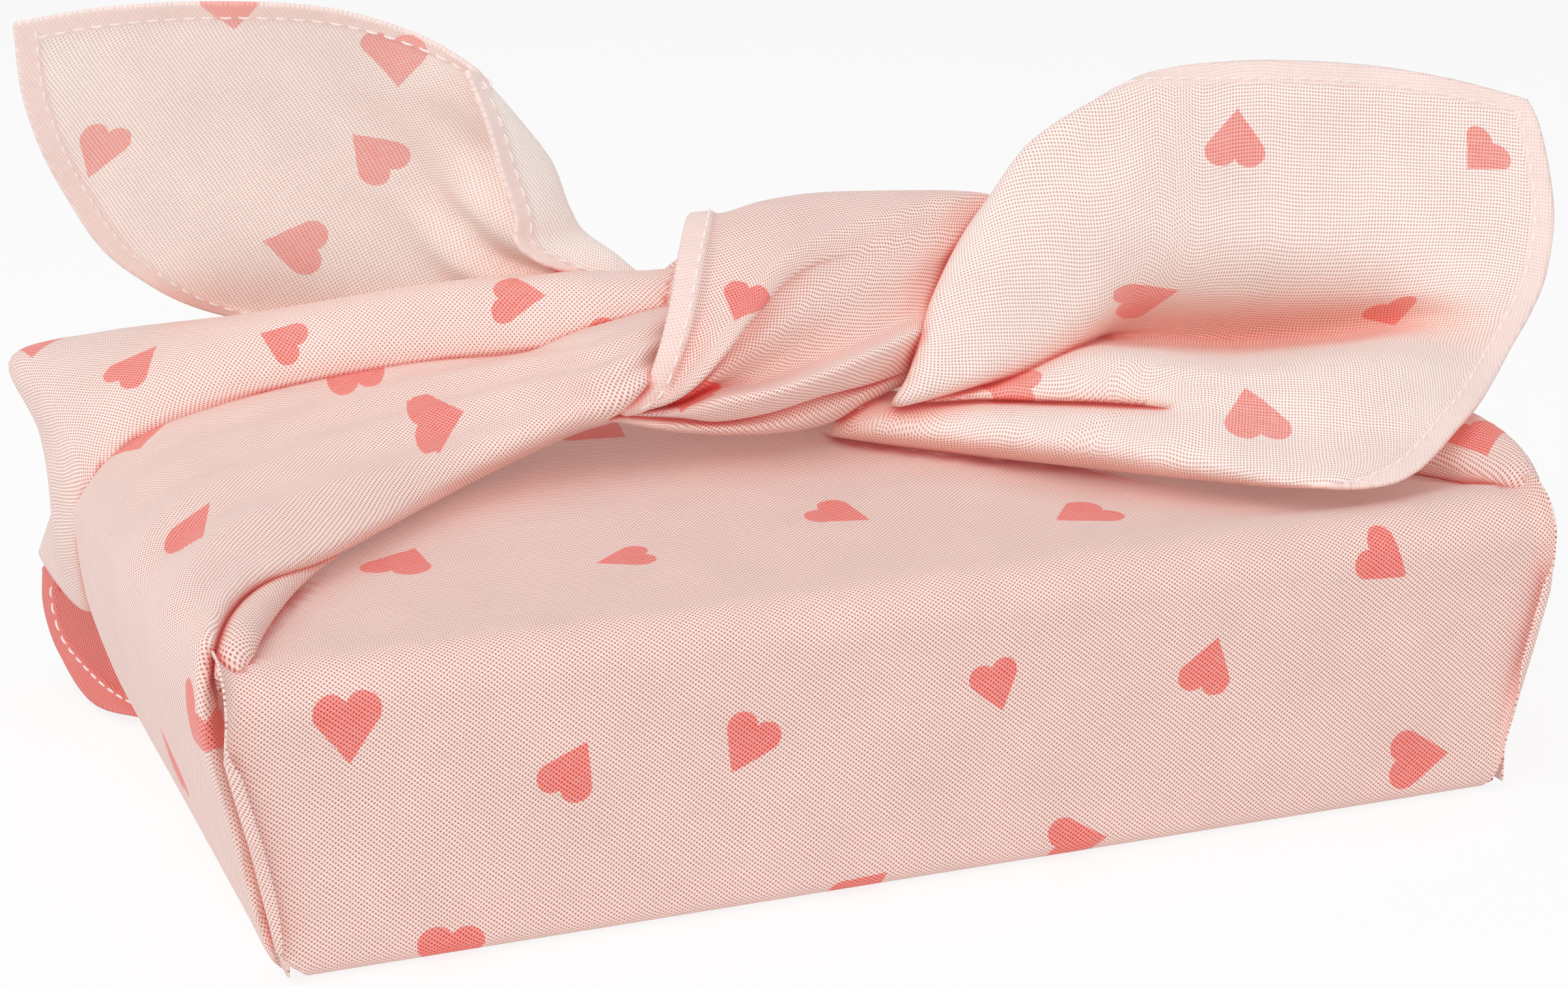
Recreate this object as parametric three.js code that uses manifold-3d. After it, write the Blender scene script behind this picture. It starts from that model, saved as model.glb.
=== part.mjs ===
// A square cotton cloth wrapped round a rigid gift box and knotted on top, in millimetres.
// X runs along the box, Y from its front to its back, and Z up from the surface it stands on.
// The cloth's folds are control nets that a smooth surface passes through, each given a thickness.

import * as THREE from 'three';
import { mergeVertices } from 'three/addons/utils/BufferGeometryUtils.js';
import Module from 'manifold-3d';

const wasm = await Module();
wasm.setup();

// Rigid paperboard box inside the cloth
const BOX_LENGTH = 232;
const BOX_DEPTH = 174;
const BOX_HEIGHT = 52;
const BOARD = 1.5;
const LID_SKIRT = 22;
const LID_CLEARANCE = 0.5;
const THUMB_NOTCH_RADIUS = 9;

// Cloth
const CLOTH = 1.0;
const GAP = 0.3;
const PANEL_GAP = 0.4;
const BOX_CORNER_RADIUS = 2;
const PANEL_FLARE = 8;
const PANEL_EDGE_RADIUS = 2.5;
const TOP_FOLD_RADIUS = 4;
const TENT_RISE = 6;
const TENT_HALF_LENGTH = 62;
const BACK_FOLD_INSET = 18;
const BACK_PANEL_LAP = 40;
const SLACK_RUN = 12;
const PLEAT_LENGTH = 38;
const CORNER_ROLL_RADIUS = 2.6;
const CORNER_ROLL_TIP_RADIUS = 0.9;

// Knot
const KNOT_LIFT = 6;
const KNOT_CORE_RADIUS = { x: 31, y: 21, z: 20 };
const KNOT_CORE_CENTRE = [8, 6, 80.5];

const halfLength = BOX_LENGTH / 2;
const halfDepth = BOX_DEPTH / 2;
const boxBase = CLOTH + GAP;
const lidTop = boxBase + BOX_HEIGHT;

// The nets were drawn round a box of this size, and stretch over one of another size.
const drawn = { halfLength: 116, halfDepth: 87, lidTop: 53.3 };

function overBox([x, y, z]) {
  const reach = (value, half) => THREE.MathUtils.clamp(value / half, -1, 1);
  return new THREE.Vector3(
    x + reach(x, drawn.halfLength) * (halfLength - drawn.halfLength),
    y + reach(y, drawn.halfDepth) * (halfDepth - drawn.halfDepth),
    z + reach(z, drawn.lidTop) * (lidTop - drawn.lidTop),
  );
}

// Left end and the front half of the left gather: rows from the floor over the top to the
// knot, columns from the hem turned under the front edge to the crease under the roll.
const LEFT_GATHER = [
  [[-117, -84, 1], [-118, -79, 1], [-118, -45, 1], [-118, 0, 1], [-118, 40, 1], [-118, 74, 1]],
  [[-118, -84, 28], [-120, -80, 28], [-123, -48, 28], [-124, 0, 28], [-124, 40, 26], [-123, 78, 24]],
  [[-120, -83, 48], [-123, -80, 48], [-127, -50, 48], [-127, -5, 48], [-127, 32, 46], [-123, 66, 44]],
  [[-119, -69, 54], [-121, -72, 60], [-119, -50, 61], [-119, -8, 61], [-120, 22, 60], [-121, 48, 56]],
  [[-107, -45, 54], [-110, -50, 61], [-105, -35, 63], [-104, -5, 66], [-106, 18, 67], [-108, 38, 66]],
  [[-89, -29, 54], [-92, -34, 61], [-84, -22, 66], [-84, -5, 71], [-86, 12, 73], [-87, 30, 73]],
  [[-67, -13, 55], [-70, -19, 62], [-63, -12, 69], [-62, -3, 75], [-63, 8, 78], [-63, 22, 78]],
  [[-44, -4, 56], [-46, -9, 67], [-42, -8, 72], [-40, -3, 77], [-40, 4, 80], [-40, 14, 80]],
  [[-24, 2, 58], [-24, -2, 71], [-21, -5, 75], [-19, -4, 79], [-18, 0, 83], [-18, 6, 84]],
];

// Roll over the back half of the left gather, with the pointed ear on its third and fourth
// rows: rows from the left end to the knot, columns from its front fold over to its back edge.
const LEFT_ROLL = [
  [[-126, 80, 22], [-128, 84, 22], [-129, 88, 24], [-124, 91, 22], [-118, 90, 22]],
  [[-127, 66, 44], [-128, 77, 44], [-126, 88, 42], [-122, 91, 44], [-117, 90, 46]],
  [[-126, 47, 56], [-129, 66, 59], [-131, 88, 59], [-124, 92, 56], [-116, 90, 55]],
  [[-118, 39, 64], [-123, 56, 70], [-132, 87, 69], [-120, 92, 63], [-108, 89, 58]],
  [[-104, 36, 71], [-106, 48, 77], [-114, 76, 75], [-104, 86, 66], [-95, 85, 58]],
  [[-84, 27, 77], [-84, 38, 84], [-86, 52, 82], [-84, 62, 72], [-82, 68, 60]],
  [[-58, 18, 81], [-58, 27, 90], [-58, 37, 87], [-58, 46, 76], [-58, 52, 63]],
  [[-36, 11, 84], [-35, 19, 92], [-34, 27, 89], [-34, 34, 80], [-34, 40, 68]],
  [[-18, 3, 87], [-17, 9, 92], [-16, 15, 90], [-16, 22, 84], [-16, 26, 76]],
];

// Right end and right gather: rows from the floor over the top to the knot, columns from
// the hem turned under the front edge to the back edge.
const RIGHT_GATHER = [
  [[117, -84, 1], [118, -79, 1], [118, -45, 1], [118, 0, 1], [118, 45, 1], [118, 79, 1]],
  [[118, -84, 28], [121, -80, 28], [126, -60, 28], [127, 0, 28], [126, 50, 28], [121, 80, 28]],
  [[120, -83, 48], [123, -80, 48], [130, -62, 50], [130, 0, 50], [128, 50, 49], [123, 80, 48]],
  [[119, -72, 56], [122, -76, 60], [127, -62, 66], [125, -10, 62], [123, 40, 62], [119, 80, 59]],
  [[109, -62, 57], [113, -68, 61], [111, -52, 64], [108, -10, 66], [106, 35, 68], [104, 74, 60]],
  [[95, -43, 54], [98, -48, 61], [92, -28, 63], [88, 0, 69], [86, 30, 71], [86, 66, 60]],
  [[74, -25, 55], [76, -30, 62], [72, -14, 67], [70, 6, 75], [69, 26, 76], [69, 52, 63]],
  [[56, -9, 57], [57, -14, 66], [55, -4, 73], [54, 8, 81], [53, 20, 82], [53, 36, 68]],
  [[46, -2, 58], [46, -6, 70], [45, 0, 76], [44, 7, 83], [44, 16, 83], [44, 26, 74]],
];

// Knot band: rows from the back over the top and down the front, columns from its hemmed
// left edge to the right.
const KNOT_BAND = [
  [[-4, 31, 74], [10, 33, 74], [25, 33, 74], [42, 32, 74], [52, 29, 75]],
  [[-5, 27, 90], [9, 30, 90], [24, 30, 90], [41, 29, 90], [52, 26, 89]],
  [[-10, 10, 103], [3, 10, 104], [18, 10, 104], [34, 10, 103], [50, 12, 101]],
  [[-18, -6, 98], [-7, -8, 96], [6, -6, 99], [24, -3, 100], [42, 4, 96]],
  [[-23, -14, 87], [-15, -18, 87], [-4, -16, 93], [14, -12, 97], [34, -3, 93]],
  [[-29, -18, 76], [-23, -24, 79], [-14, -24, 86], [5, -20, 92], [25, -10, 91]],
];

// Middle lobe of the knot: rows downwards, columns from the left pinch to the right one.
const KNOT_MIDDLE_LOBE = [
  [[-24, -12, 76], [-15, -16, 82], [0, -15, 89], [14, -11, 91], [24, -6, 89]],
  [[-27, -20, 75], [-15, -26, 81], [0, -26, 86], [14, -21, 87], [23, -13, 86]],
  [[-24, -19, 73], [-11, -25, 77], [4, -25, 77], [14, -21, 80], [22, -14, 82]],
];

// Lower lobe of the knot, laid out as the middle one.
const KNOT_LOWER_LOBE = [
  [[-24, -13, 71], [-9, -18, 75], [6, -18, 75], [14, -16, 77], [21, -11, 79]],
  [[-30, -20, 72], [-12, -27, 71], [4, -27, 71], [14, -22, 72], [21, -14, 75]],
  [[-28, -12, 68], [-9, -17, 66], [7, -17, 65], [17, -14, 65], [21, -10, 69]],
];

// Left tail: rows from the knot to its top hem, columns from the left hem to the hem that
// is folded forward.
const LEFT_TAIL = [
  [[-30, 44, 76], [-27, 44, 79], [-25, 42, 82], [-24, 38, 85], [-23, 33, 88], [-20, 25, 92], [-27, 18, 91]],
  [[-84, 68, 76], [-70, 66, 76], [-57, 60, 78], [-47, 54, 81], [-39, 46, 85], [-24, 30, 94], [-40, 20, 96]],
  [[-111, 62, 91], [-89, 63, 95], [-70, 62, 97], [-53, 56, 98], [-43, 46, 98], [-28, 31, 101], [-42, 20, 104]],
  [[-124, 52, 111], [-102, 56, 114], [-82, 58, 115], [-62, 54, 114], [-47, 46, 112], [-31, 33, 111], [-44, 21, 112]],
  [[-131, 42, 130], [-110, 46, 132], [-89, 50, 131], [-68, 47, 130], [-53, 40, 126], [-38, 32, 121], [-46, 23, 122]],
  [[-133, 34, 147], [-116, 36, 148], [-95, 38, 147], [-73, 38, 144], [-56, 35, 138], [-46, 30, 131], [-49, 25, 132]],
];

// Right tail: rows from the knot to its right hem, columns from the hem behind its top edge
// down the petal, into the trough, over the lip and round the lower tube.
const RIGHT_TAIL = [
  [[32, -13, 79], [30, -18, 80], [29, -22, 77], [28, -25, 74], [27, -28, 71],
    [30, -21, 70], [29, -26, 69], [30, -20, 67], [26, -26, 65], [24, -22, 62]],
  [[42, -5, 81], [32, -12, 84], [35, -20, 81], [36, -26, 76], [33, -31, 72],
    [38, -20, 71], [36, -28, 70], [38, -22, 67], [32, -31, 65], [29, -27, 61]],
  [[50, -4, 88], [39, -9, 94], [46, -17, 88], [50, -26, 83], [50, -32, 77],
    [56, -19, 76], [51, -34, 74], [52, -29, 68], [46, -39, 65], [45, -37, 60]],
  [[63, -2, 107], [52, -6, 108], [65, -12, 101], [71, -19, 92], [69, -27, 84],
    [76, -19, 76], [70, -38, 75], [70, -36, 67], [64, -46, 64], [62, -46, 59]],
  [[71, -3, 123], [67, -6, 118], [85, -9, 107], [95, -13, 93], [96, -19, 81],
    [93, -24, 74], [86, -42, 74], [86, -43, 67], [81, -53, 62], [79, -55, 58]],
  [[111, -4, 125], [112, -6, 118], [119, -10, 106], [122, -15, 91], [121, -22, 80],
    [116, -30, 75], [108, -46, 74], [103, -52, 68], [96, -62, 63], [91, -66, 58]],
  [[137, -8, 122], [137, -10, 115], [140, -15, 104], [140, -21, 92], [136, -28, 82],
    [128, -37, 77], [120, -49, 74], [111, -59, 70], [103, -66, 64], [93, -71, 58]],
  [[159, -14, 114], [161, -16, 108], [161, -22, 100], [158, -29, 90], [151, -37, 81],
    [142, -46, 76], [131, -55, 72], [120, -64, 69], [111, -70, 64], [94, -74, 58]],
];

// Tucked corner that hangs behind the left end: rows from the end out to its rim, columns
// downwards.
const LOOSE_FLAP = [
  [[-121, 85, 20], [-121, 79, 14], [-121, 70, 9], [-120, 60, 6], [-120, 50, 4]],
  [[-126, 87, 19], [-127, 82, 14], [-126, 73, 9], [-124, 62, 5], [-121, 52, 3]],
  [[-129, 87, 17], [-131, 84, 15], [-130, 77, 11], [-127, 64, 6], [-123, 52, 3]],
];

// Route of the small roll in the left front corner, from its open foot up to the gather
const CORNER_ROLL = [[-122, -83, 56], [-119, -76, 59], [-113, -63, 60], [-107, -53, 60], [-98, -43, 61]];

// The smooth surface through a net: u runs down its rows and v along its columns.
function throughNet(net) {
  const curve = (points) => new THREE.CatmullRomCurve3(points, false, 'catmullrom');
  const columns = net[0].map((_, column) => curve(net.map((row) => overBox(row[column]))));
  return (u, v) => curve(columns.map((column) => column.getPoint(u))).getPoint(v);
}

function steps(from, to, count) {
  return Array.from({ length: count + 1 }, (_, i) => THREE.MathUtils.lerp(from, to, i / count));
}

// A closed solid of one thickness about a surface, sampled at the given parameters. With
// clearance it grows on both faces and past its edges, to cut what lies against it.
function sheet(surface, us, vs, thickness, clearance = 0) {
  const across = (thickness / 2) + clearance;
  const delta = 1e-3;
  const grid = us.map((u) => vs.map((v) => surface(u, v)));
  const normals = us.map((u) => vs.map((v) => {
    const alongU = surface(Math.min(u + delta, us.at(-1)), v).sub(surface(Math.max(u - delta, us[0]), v));
    const alongV = surface(u, Math.min(v + delta, vs.at(-1))).sub(surface(u, Math.max(v - delta, vs[0])));
    return alongU.cross(alongV).normalize();
  }));
  const rows = us.length;
  const columns = vs.length;
  const beyond = (edge, inner) => edge.clone().sub(inner).setLength(clearance);
  const moved = grid.map((row, i) => row.map((point, j) => {
    const place = point.clone();
    if (clearance > 0 && i === 0) place.add(beyond(point, grid[1][j]));
    if (clearance > 0 && i === rows - 1) place.add(beyond(point, grid[rows - 2][j]));
    if (clearance > 0 && j === 0) place.add(beyond(point, grid[i][1]));
    if (clearance > 0 && j === columns - 1) place.add(beyond(point, grid[i][columns - 2]));
    return place;
  }));
  const positions = [];
  for (const side of [1, -1]) {
    moved.forEach((row, i) => row.forEach((point, j) => {
      positions.push(...point.clone().addScaledVector(normals[i][j], side * across).toArray());
    }));
  }
  const front = (i, j) => (i * columns) + j;
  const back = (i, j) => (rows * columns) + front(i, j);
  const faces = [];
  const quad = (a, b, c, d) => faces.push(a, b, c, a, c, d);
  for (let i = 0; i < rows - 1; i += 1) {
    for (let j = 0; j < columns - 1; j += 1) {
      quad(front(i, j), front(i + 1, j), front(i + 1, j + 1), front(i, j + 1));
      quad(back(i, j), back(i, j + 1), back(i + 1, j + 1), back(i + 1, j));
    }
    quad(front(i, 0), back(i, 0), back(i + 1, 0), front(i + 1, 0));
    quad(front(i, columns - 1), front(i + 1, columns - 1), back(i + 1, columns - 1), back(i, columns - 1));
  }
  for (let j = 0; j < columns - 1; j += 1) {
    quad(front(0, j), front(0, j + 1), back(0, j + 1), back(0, j));
    quad(front(rows - 1, j), back(rows - 1, j), back(rows - 1, j + 1), front(rows - 1, j + 1));
  }
  return fromTriangles(positions, faces);
}

function fromTriangles(positions, faces) {
  const geometry = new THREE.BufferGeometry();
  geometry.setAttribute('position', new THREE.Float32BufferAttribute(positions, 3));
  geometry.setIndex(faces);
  geometry.computeVertexNormals();
  return geometry;
}

// A tapered tube with closed ends along a curve
function taperedTube(points, startRadius, endRadius, lengthSteps, sides) {
  const path = new THREE.CatmullRomCurve3(points, false, 'catmullrom');
  const frames = path.computeFrenetFrames(lengthSteps, false);
  const positions = [];
  const faces = [];
  for (let i = 0; i <= lengthSteps; i += 1) {
    const centre = path.getPointAt(i / lengthSteps);
    const radius = THREE.MathUtils.lerp(startRadius, endRadius, i / lengthSteps);
    for (let k = 0; k < sides; k += 1) {
      const angle = (2 * Math.PI * k) / sides;
      const place = centre.clone()
        .addScaledVector(frames.normals[i], radius * Math.cos(angle))
        .addScaledVector(frames.binormals[i], radius * Math.sin(angle));
      positions.push(...place.toArray());
    }
  }
  for (let i = 0; i < lengthSteps; i += 1) {
    for (let k = 0; k < sides; k += 1) {
      const a = (i * sides) + k;
      const b = (i * sides) + ((k + 1) % sides);
      faces.push(a, b, b + sides, a, b + sides, a + sides);
    }
  }
  for (const [ring, flip] of [[0, true], [lengthSteps, false]]) {
    const centreIndex = positions.length / 3;
    positions.push(...path.getPointAt(ring / lengthSteps).toArray());
    for (let k = 0; k < sides; k += 1) {
      const a = (ring * sides) + k;
      const b = (ring * sides) + ((k + 1) % sides);
      faces.push(centreIndex, flip ? b : a, flip ? a : b);
    }
  }
  return fromTriangles(positions, faces);
}

function solidOf(geometry) {
  const bare = geometry.clone();
  bare.deleteAttribute('normal');
  bare.deleteAttribute('uv');
  const merged = mergeVertices(bare, 1e-4);
  const vertProperties = new Float32Array(merged.attributes.position.array);
  const triVerts = new Uint32Array(merged.index.array);
  return new wasm.Manifold(new wasm.Mesh({ numProp: 3, vertProperties, triVerts }));
}

function geometryOf(solid) {
  const { vertProperties, triVerts } = solid.getMesh();
  return fromTriangles(Array.from(vertProperties), Array.from(triVerts));
}

// Cuts a piece back from the grown solids of what it lies against, and keeps its main body.
function seat(geometry, grownSolids) {
  const cut = grownSolids.reduce((solid, grown) => solid.subtract(grown), solidOf(geometry));
  const bodies = cut.decompose();
  bodies.sort((a, b) => b.volume() - a.volume());
  return geometryOf(bodies[0]);
}

function grownBox(length, depth, height, base) {
  const box = new THREE.BoxGeometry(length + (2 * GAP), depth + (2 * GAP), height + (2 * GAP));
  return solidOf(box.translate(0, 0, base + (height / 2)));
}

// A net's solid and its grown solid, between two places along its rows and columns
function clothPiece(net, [u0, u1], [v0, v1], rows, columns) {
  const surface = throughNet(net);
  const us = steps(u0, u1, rows);
  const vs = steps(v0, v1, columns);
  return {
    geometry: sheet(surface, us, vs, CLOTH),
    grown: solidOf(sheet(surface, us, vs, CLOTH, GAP)),
  };
}

function roundedRectangle(length, depth, radius) {
  const shape = new THREE.Shape();
  const x = length / 2;
  const y = depth / 2;
  shape.absarc(x - radius, y - radius, radius, 0, Math.PI / 2);
  shape.absarc(-x + radius, y - radius, radius, Math.PI / 2, Math.PI);
  shape.absarc(-x + radius, -y + radius, radius, Math.PI, 1.5 * Math.PI);
  shape.absarc(x - radius, -y + radius, radius, 1.5 * Math.PI, 2 * Math.PI);
  shape.closePath();
  return shape;
}

function slab(length, depth, radius, height, base) {
  const options = { depth: height, bevelEnabled: false, curveSegments: 4 };
  return new THREE.ExtrudeGeometry(roundedRectangle(length, depth, radius), options).translate(0, 0, base);
}

// Tray of the box, whose walls slide up inside the lid's skirt
const trayInset = BOARD + LID_CLEARANCE;
const trayLength = BOX_LENGTH - (2 * trayInset);
const trayDepth = BOX_DEPTH - (2 * trayInset);
const trayHeight = BOX_HEIGHT - BOARD - GAP;

function boxTray() {
  const outside = solidOf(slab(trayLength, trayDepth, BOX_CORNER_RADIUS, trayHeight, boxBase));
  const inside = solidOf(new THREE.BoxGeometry(
    trayLength - (2 * BOARD),
    trayDepth - (2 * BOARD),
    trayHeight,
  ).translate(0, 0, boxBase + BOARD + (trayHeight / 2)));
  return geometryOf(outside.subtract(inside));
}

// Lift-off lid, with a thumb notch in the middle of each long skirt
function boxLid() {
  const skirtBase = lidTop - LID_SKIRT;
  const outside = solidOf(slab(BOX_LENGTH, BOX_DEPTH, BOX_CORNER_RADIUS, LID_SKIRT, skirtBase));
  const inside = solidOf(new THREE.BoxGeometry(
    BOX_LENGTH - (2 * BOARD),
    BOX_DEPTH - (2 * BOARD),
    LID_SKIRT,
  ).translate(0, 0, skirtBase + (LID_SKIRT / 2) - BOARD));
  const notch = solidOf(new THREE.CylinderGeometry(
    THUMB_NOTCH_RADIUS,
    THUMB_NOTCH_RADIUS,
    BOX_DEPTH + (2 * BOARD),
    24,
  ).translate(0, 0, skirtBase));
  return geometryOf(outside.subtract(inside).subtract(notch));
}

function clothUnderside() {
  return slab(BOX_LENGTH, BOX_DEPTH - (2 * GAP), BOX_CORNER_RADIUS, CLOTH, 0);
}

// Height of a panel's middle surface over the lid, which tents up under the knot
function topHeight(x, y, slack) {
  const rise = THREE.MathUtils.smoothstep(y, -halfDepth, -halfDepth * 0.15);
  const fall = 1 - THREE.MathUtils.smoothstep(y, halfDepth * 0.15, halfDepth * 0.5);
  return lidTop + GAP + (CLOTH / 2) + slack + (TENT_RISE * rise * fall * Math.exp(-((x / TENT_HALF_LENGTH) ** 2)));
}

// A panel that stands against one long side of the box, turns over its top edge and runs
// over the lid. u runs from the floor to the far edge, and v from left to right.
function panelSurface(side, topRun, isOnTop) {
  const slack = CLOTH + GAP;
  const faceOffset = GAP + (CLOTH / 2);
  const bottom = { y: halfDepth + faceOffset, z: CLOTH / 2 };
  const edge = { y: halfDepth + faceOffset + (slack * 0.6), z: lidTop + faceOffset + slack };
  const turn = { y: edge.y - TOP_FOLD_RADIUS, z: edge.z - TOP_FOLD_RADIUS };
  const topHalf = (run) => halfLength + PANEL_FLARE + 1 - (run * (PANEL_FLARE + 8));
  return (u, v) => {
    const place = new THREE.Vector3();
    const inward = new THREE.Vector3();
    let half = halfLength + 1 + PANEL_FLARE;
    let topShare = 0;
    if (u <= 0.4) {
      const share = u / 0.4;
      place.set(0, THREE.MathUtils.lerp(bottom.y, edge.y, share), THREE.MathUtils.lerp(bottom.z, turn.z, share));
      inward.set(0, -1, 0);
      half = halfLength + 1 + (PANEL_FLARE * ((place.z / lidTop) ** 0.8));
    } else if (u <= 0.5) {
      const angle = ((u - 0.4) / 0.1) * (Math.PI / 2);
      place.set(0, turn.y + (TOP_FOLD_RADIUS * Math.cos(angle)), turn.z + (TOP_FOLD_RADIUS * Math.sin(angle)));
      inward.set(0, -Math.cos(angle), -Math.sin(angle));
    } else {
      topShare = (u - 0.5) / 0.5;
      place.set(0, turn.y - (topRun * topShare), edge.z);
      inward.set(0, 0, -1);
      half = topHalf(Math.min(1, (topShare * topRun) / 22));
    }
    const flat = half - PANEL_EDGE_RADIUS;
    const bend = THREE.MathUtils.clamp((Math.abs(v) - 0.94) / 0.06, 0, 1) * (0.5 * Math.PI);
    const curl = 1 - THREE.MathUtils.smoothstep(topShare * topRun, 0, 12);
    place.x = Math.sign(v) * (Math.min(Math.abs(v) / 0.94, 1) * flat + (PANEL_EDGE_RADIUS * Math.sin(bend)));
    place.addScaledVector(inward, curl * PANEL_EDGE_RADIUS * (1 - Math.cos(bend)));
    const slackHere = isOnTop ? slack : slack * (1 - THREE.MathUtils.smoothstep(topShare * topRun, 0, SLACK_RUN));
    if (topShare > 0) place.z = place.z - edge.z + topHeight(place.x, side * place.y, slackHere);
    place.y *= side;
    return place;
  };
}

const panelAcross = [-1, -0.985, -0.97, -0.955, -0.94, -0.7, -0.45, -0.2, 0];
const acrossPanel = [...panelAcross, ...panelAcross.slice(0, -1).reverse().map((v) => -v)];

function panelPiece(surface, upPanel) {
  return {
    geometry: sheet(surface, upPanel, acrossPanel, CLOTH),
    grown: solidOf(sheet(surface, upPanel, acrossPanel, CLOTH, PANEL_GAP)),
  };
}

// The front corner of the cloth: up the front, over the knot's foot and folded at the back
const frontPanel = panelPiece(
  panelSurface(-1, BOX_DEPTH - BACK_FOLD_INSET, true),
  [0, 0.2, 0.4, 0.425, 0.45, 0.475, 0.5, 0.53, 0.57, 0.64, 0.71, 0.77, 0.83, 0.88, 0.93, 1],
);

// The back corner of the cloth: up the back and under the front corner
const backPanel = panelPiece(
  panelSurface(1, BACK_PANEL_LAP, false),
  [0, 0.2, 0.4, 0.425, 0.45, 0.475, 0.5, 0.57, 0.65, 0.8, 1],
);

// A triangular pleat tucked against a box end, between a panel's edge and the end's cloth
function cornerPleat(xSide, ySide) {
  const shape = new THREE.Shape();
  const near = halfDepth - PANEL_EDGE_RADIUS - CLOTH;
  const top = lidTop - TOP_FOLD_RADIUS - CLOTH;
  shape.moveTo(near, boxBase);
  shape.lineTo(near, top);
  shape.lineTo(near - PLEAT_LENGTH, top);
  shape.closePath();
  const pleat = new THREE.ExtrudeGeometry(shape, { depth: CLOTH, bevelEnabled: false });
  const { array } = pleat.attributes.position;
  const positions = [];
  for (let i = 0; i < array.length; i += 3) {
    positions.push(xSide * (halfLength + GAP + array[i + 2]), ySide * array[i], array[i + 1]);
  }
  const faces = Array.from({ length: positions.length / 3 }, (_, i) => i);
  if (xSide * ySide < 0) faces.reverse();
  return fromTriangles(positions, faces);
}

const group = new THREE.Group();
const knot = new THREE.Group();
group.add(knot);

function add(name, geometry, color, roughness, parent = group) {
  const mesh = new THREE.Mesh(geometry, new THREE.MeshStandardMaterial({ color, roughness, metalness: 0 }));
  mesh.name = name;
  parent.add(mesh);
}

const BOARD_FINISH = [0xf3efe8, 0.7];
const CLOTH_FINISH = [0xecccc0, 0.9];

const boxSpace = grownBox(BOX_LENGTH, BOX_DEPTH, BOX_HEIGHT, boxBase);
const wrapBase = [boxSpace, frontPanel.grown, backPanel.grown];

// The end sheets take the first three spans of the gathers' nets, past the turned hem, and
// the gathers go on from there across a narrow seam.
const END_SHARE = 3 / 8;
const PAST_END = END_SHARE + 0.003;
const PAST_HEM = 1 / 5;

const leftEnd = clothPiece(LEFT_GATHER, [0, END_SHARE], [PAST_HEM, 1], 8, 8);
const leftGather = clothPiece(LEFT_GATHER, [PAST_END, 0.99], [0, 1], 14, 12);
const leftRoll = clothPiece(LEFT_ROLL, [0, 0.985], [0, 1], 18, 10);
const rightEnd = clothPiece(RIGHT_GATHER, [0, END_SHARE], [PAST_HEM, 1], 8, 8);
const rightGather = clothPiece(RIGHT_GATHER, [PAST_END, 0.99], [0, 1], 14, 12);
const looseFlap = clothPiece(LOOSE_FLAP, [0, 1], [0, 1], 5, 10);

const lowerLobe = clothPiece(KNOT_LOWER_LOBE, [0, 1], [0, 1], 8, 12);
const middleLobe = clothPiece(KNOT_MIDDLE_LOBE, [0, 1], [0, 1], 8, 12);
const band = clothPiece(KNOT_BAND, [0, 1], [0, 1], 14, 10);
const coreGeometry = new THREE.SphereGeometry(1, 24, 16)
  .scale(KNOT_CORE_RADIUS.x, KNOT_CORE_RADIUS.y, KNOT_CORE_RADIUS.z)
  .translate(...overBox(KNOT_CORE_CENTRE).toArray());
const grownCore = solidOf(new THREE.SphereGeometry(1, 24, 16)
  .scale(KNOT_CORE_RADIUS.x + GAP, KNOT_CORE_RADIUS.y + GAP, KNOT_CORE_RADIUS.z + GAP)
  .translate(...overBox(KNOT_CORE_CENTRE).toArray()));

const leftTail = clothPiece(LEFT_TAIL, [0.03, 1], [0, 1], 14, 18);
const rightTail = clothPiece(RIGHT_TAIL, [0.06, 1], [0, 1], 18, 27);

// What the strands must clear while the knot is lifted from rest to its limit
const knotSolids = [lowerLobe.grown, middleLobe.grown, band.grown, grownCore];
const liftedKnot = steps(0, KNOT_LIFT, 5).flatMap((lift) => knotSolids.map((solid) => solid.translate([0, 0, lift])));

add('box_tray', boxTray(), ...BOARD_FINISH);
add('box_lid', boxLid(), ...BOARD_FINISH);
add('cloth_underside', clothUnderside(), ...CLOTH_FINISH);
add('front_panel', frontPanel.geometry, ...CLOTH_FINISH);
add('back_panel', backPanel.geometry, ...CLOTH_FINISH);
for (const [name, xSide, ySide] of [
  ['front_left_pleat', -1, -1],
  ['front_right_pleat', 1, -1],
  ['back_left_pleat', -1, 1],
  ['back_right_pleat', 1, 1],
]) add(name, cornerPleat(xSide, ySide), ...CLOTH_FINISH);
add('left_end_panel', seat(leftEnd.geometry, wrapBase), ...CLOTH_FINISH);
add('right_end_panel', seat(rightEnd.geometry, wrapBase), ...CLOTH_FINISH);
add('left_gather', seat(leftGather.geometry, [...wrapBase, leftEnd.grown, ...liftedKnot]), ...CLOTH_FINISH);
add('left_roll', seat(leftRoll.geometry, [...wrapBase, leftEnd.grown, leftGather.grown, ...liftedKnot]), ...CLOTH_FINISH);
add('right_gather', seat(rightGather.geometry, [...wrapBase, rightEnd.grown, ...liftedKnot]), ...CLOTH_FINISH);
add('corner_roll', seat(
  taperedTube(CORNER_ROLL.map(overBox), CORNER_ROLL_RADIUS, CORNER_ROLL_TIP_RADIUS, 12, 8),
  [...wrapBase, leftEnd.grown, leftGather.grown],
), ...CLOTH_FINISH);
add('loose_flap', seat(looseFlap.geometry, [...wrapBase, leftEnd.grown, leftRoll.grown]), ...CLOTH_FINISH);
add('knot_lower_lobe', seat(lowerLobe.geometry, [frontPanel.grown]), ...CLOTH_FINISH, knot);
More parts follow.
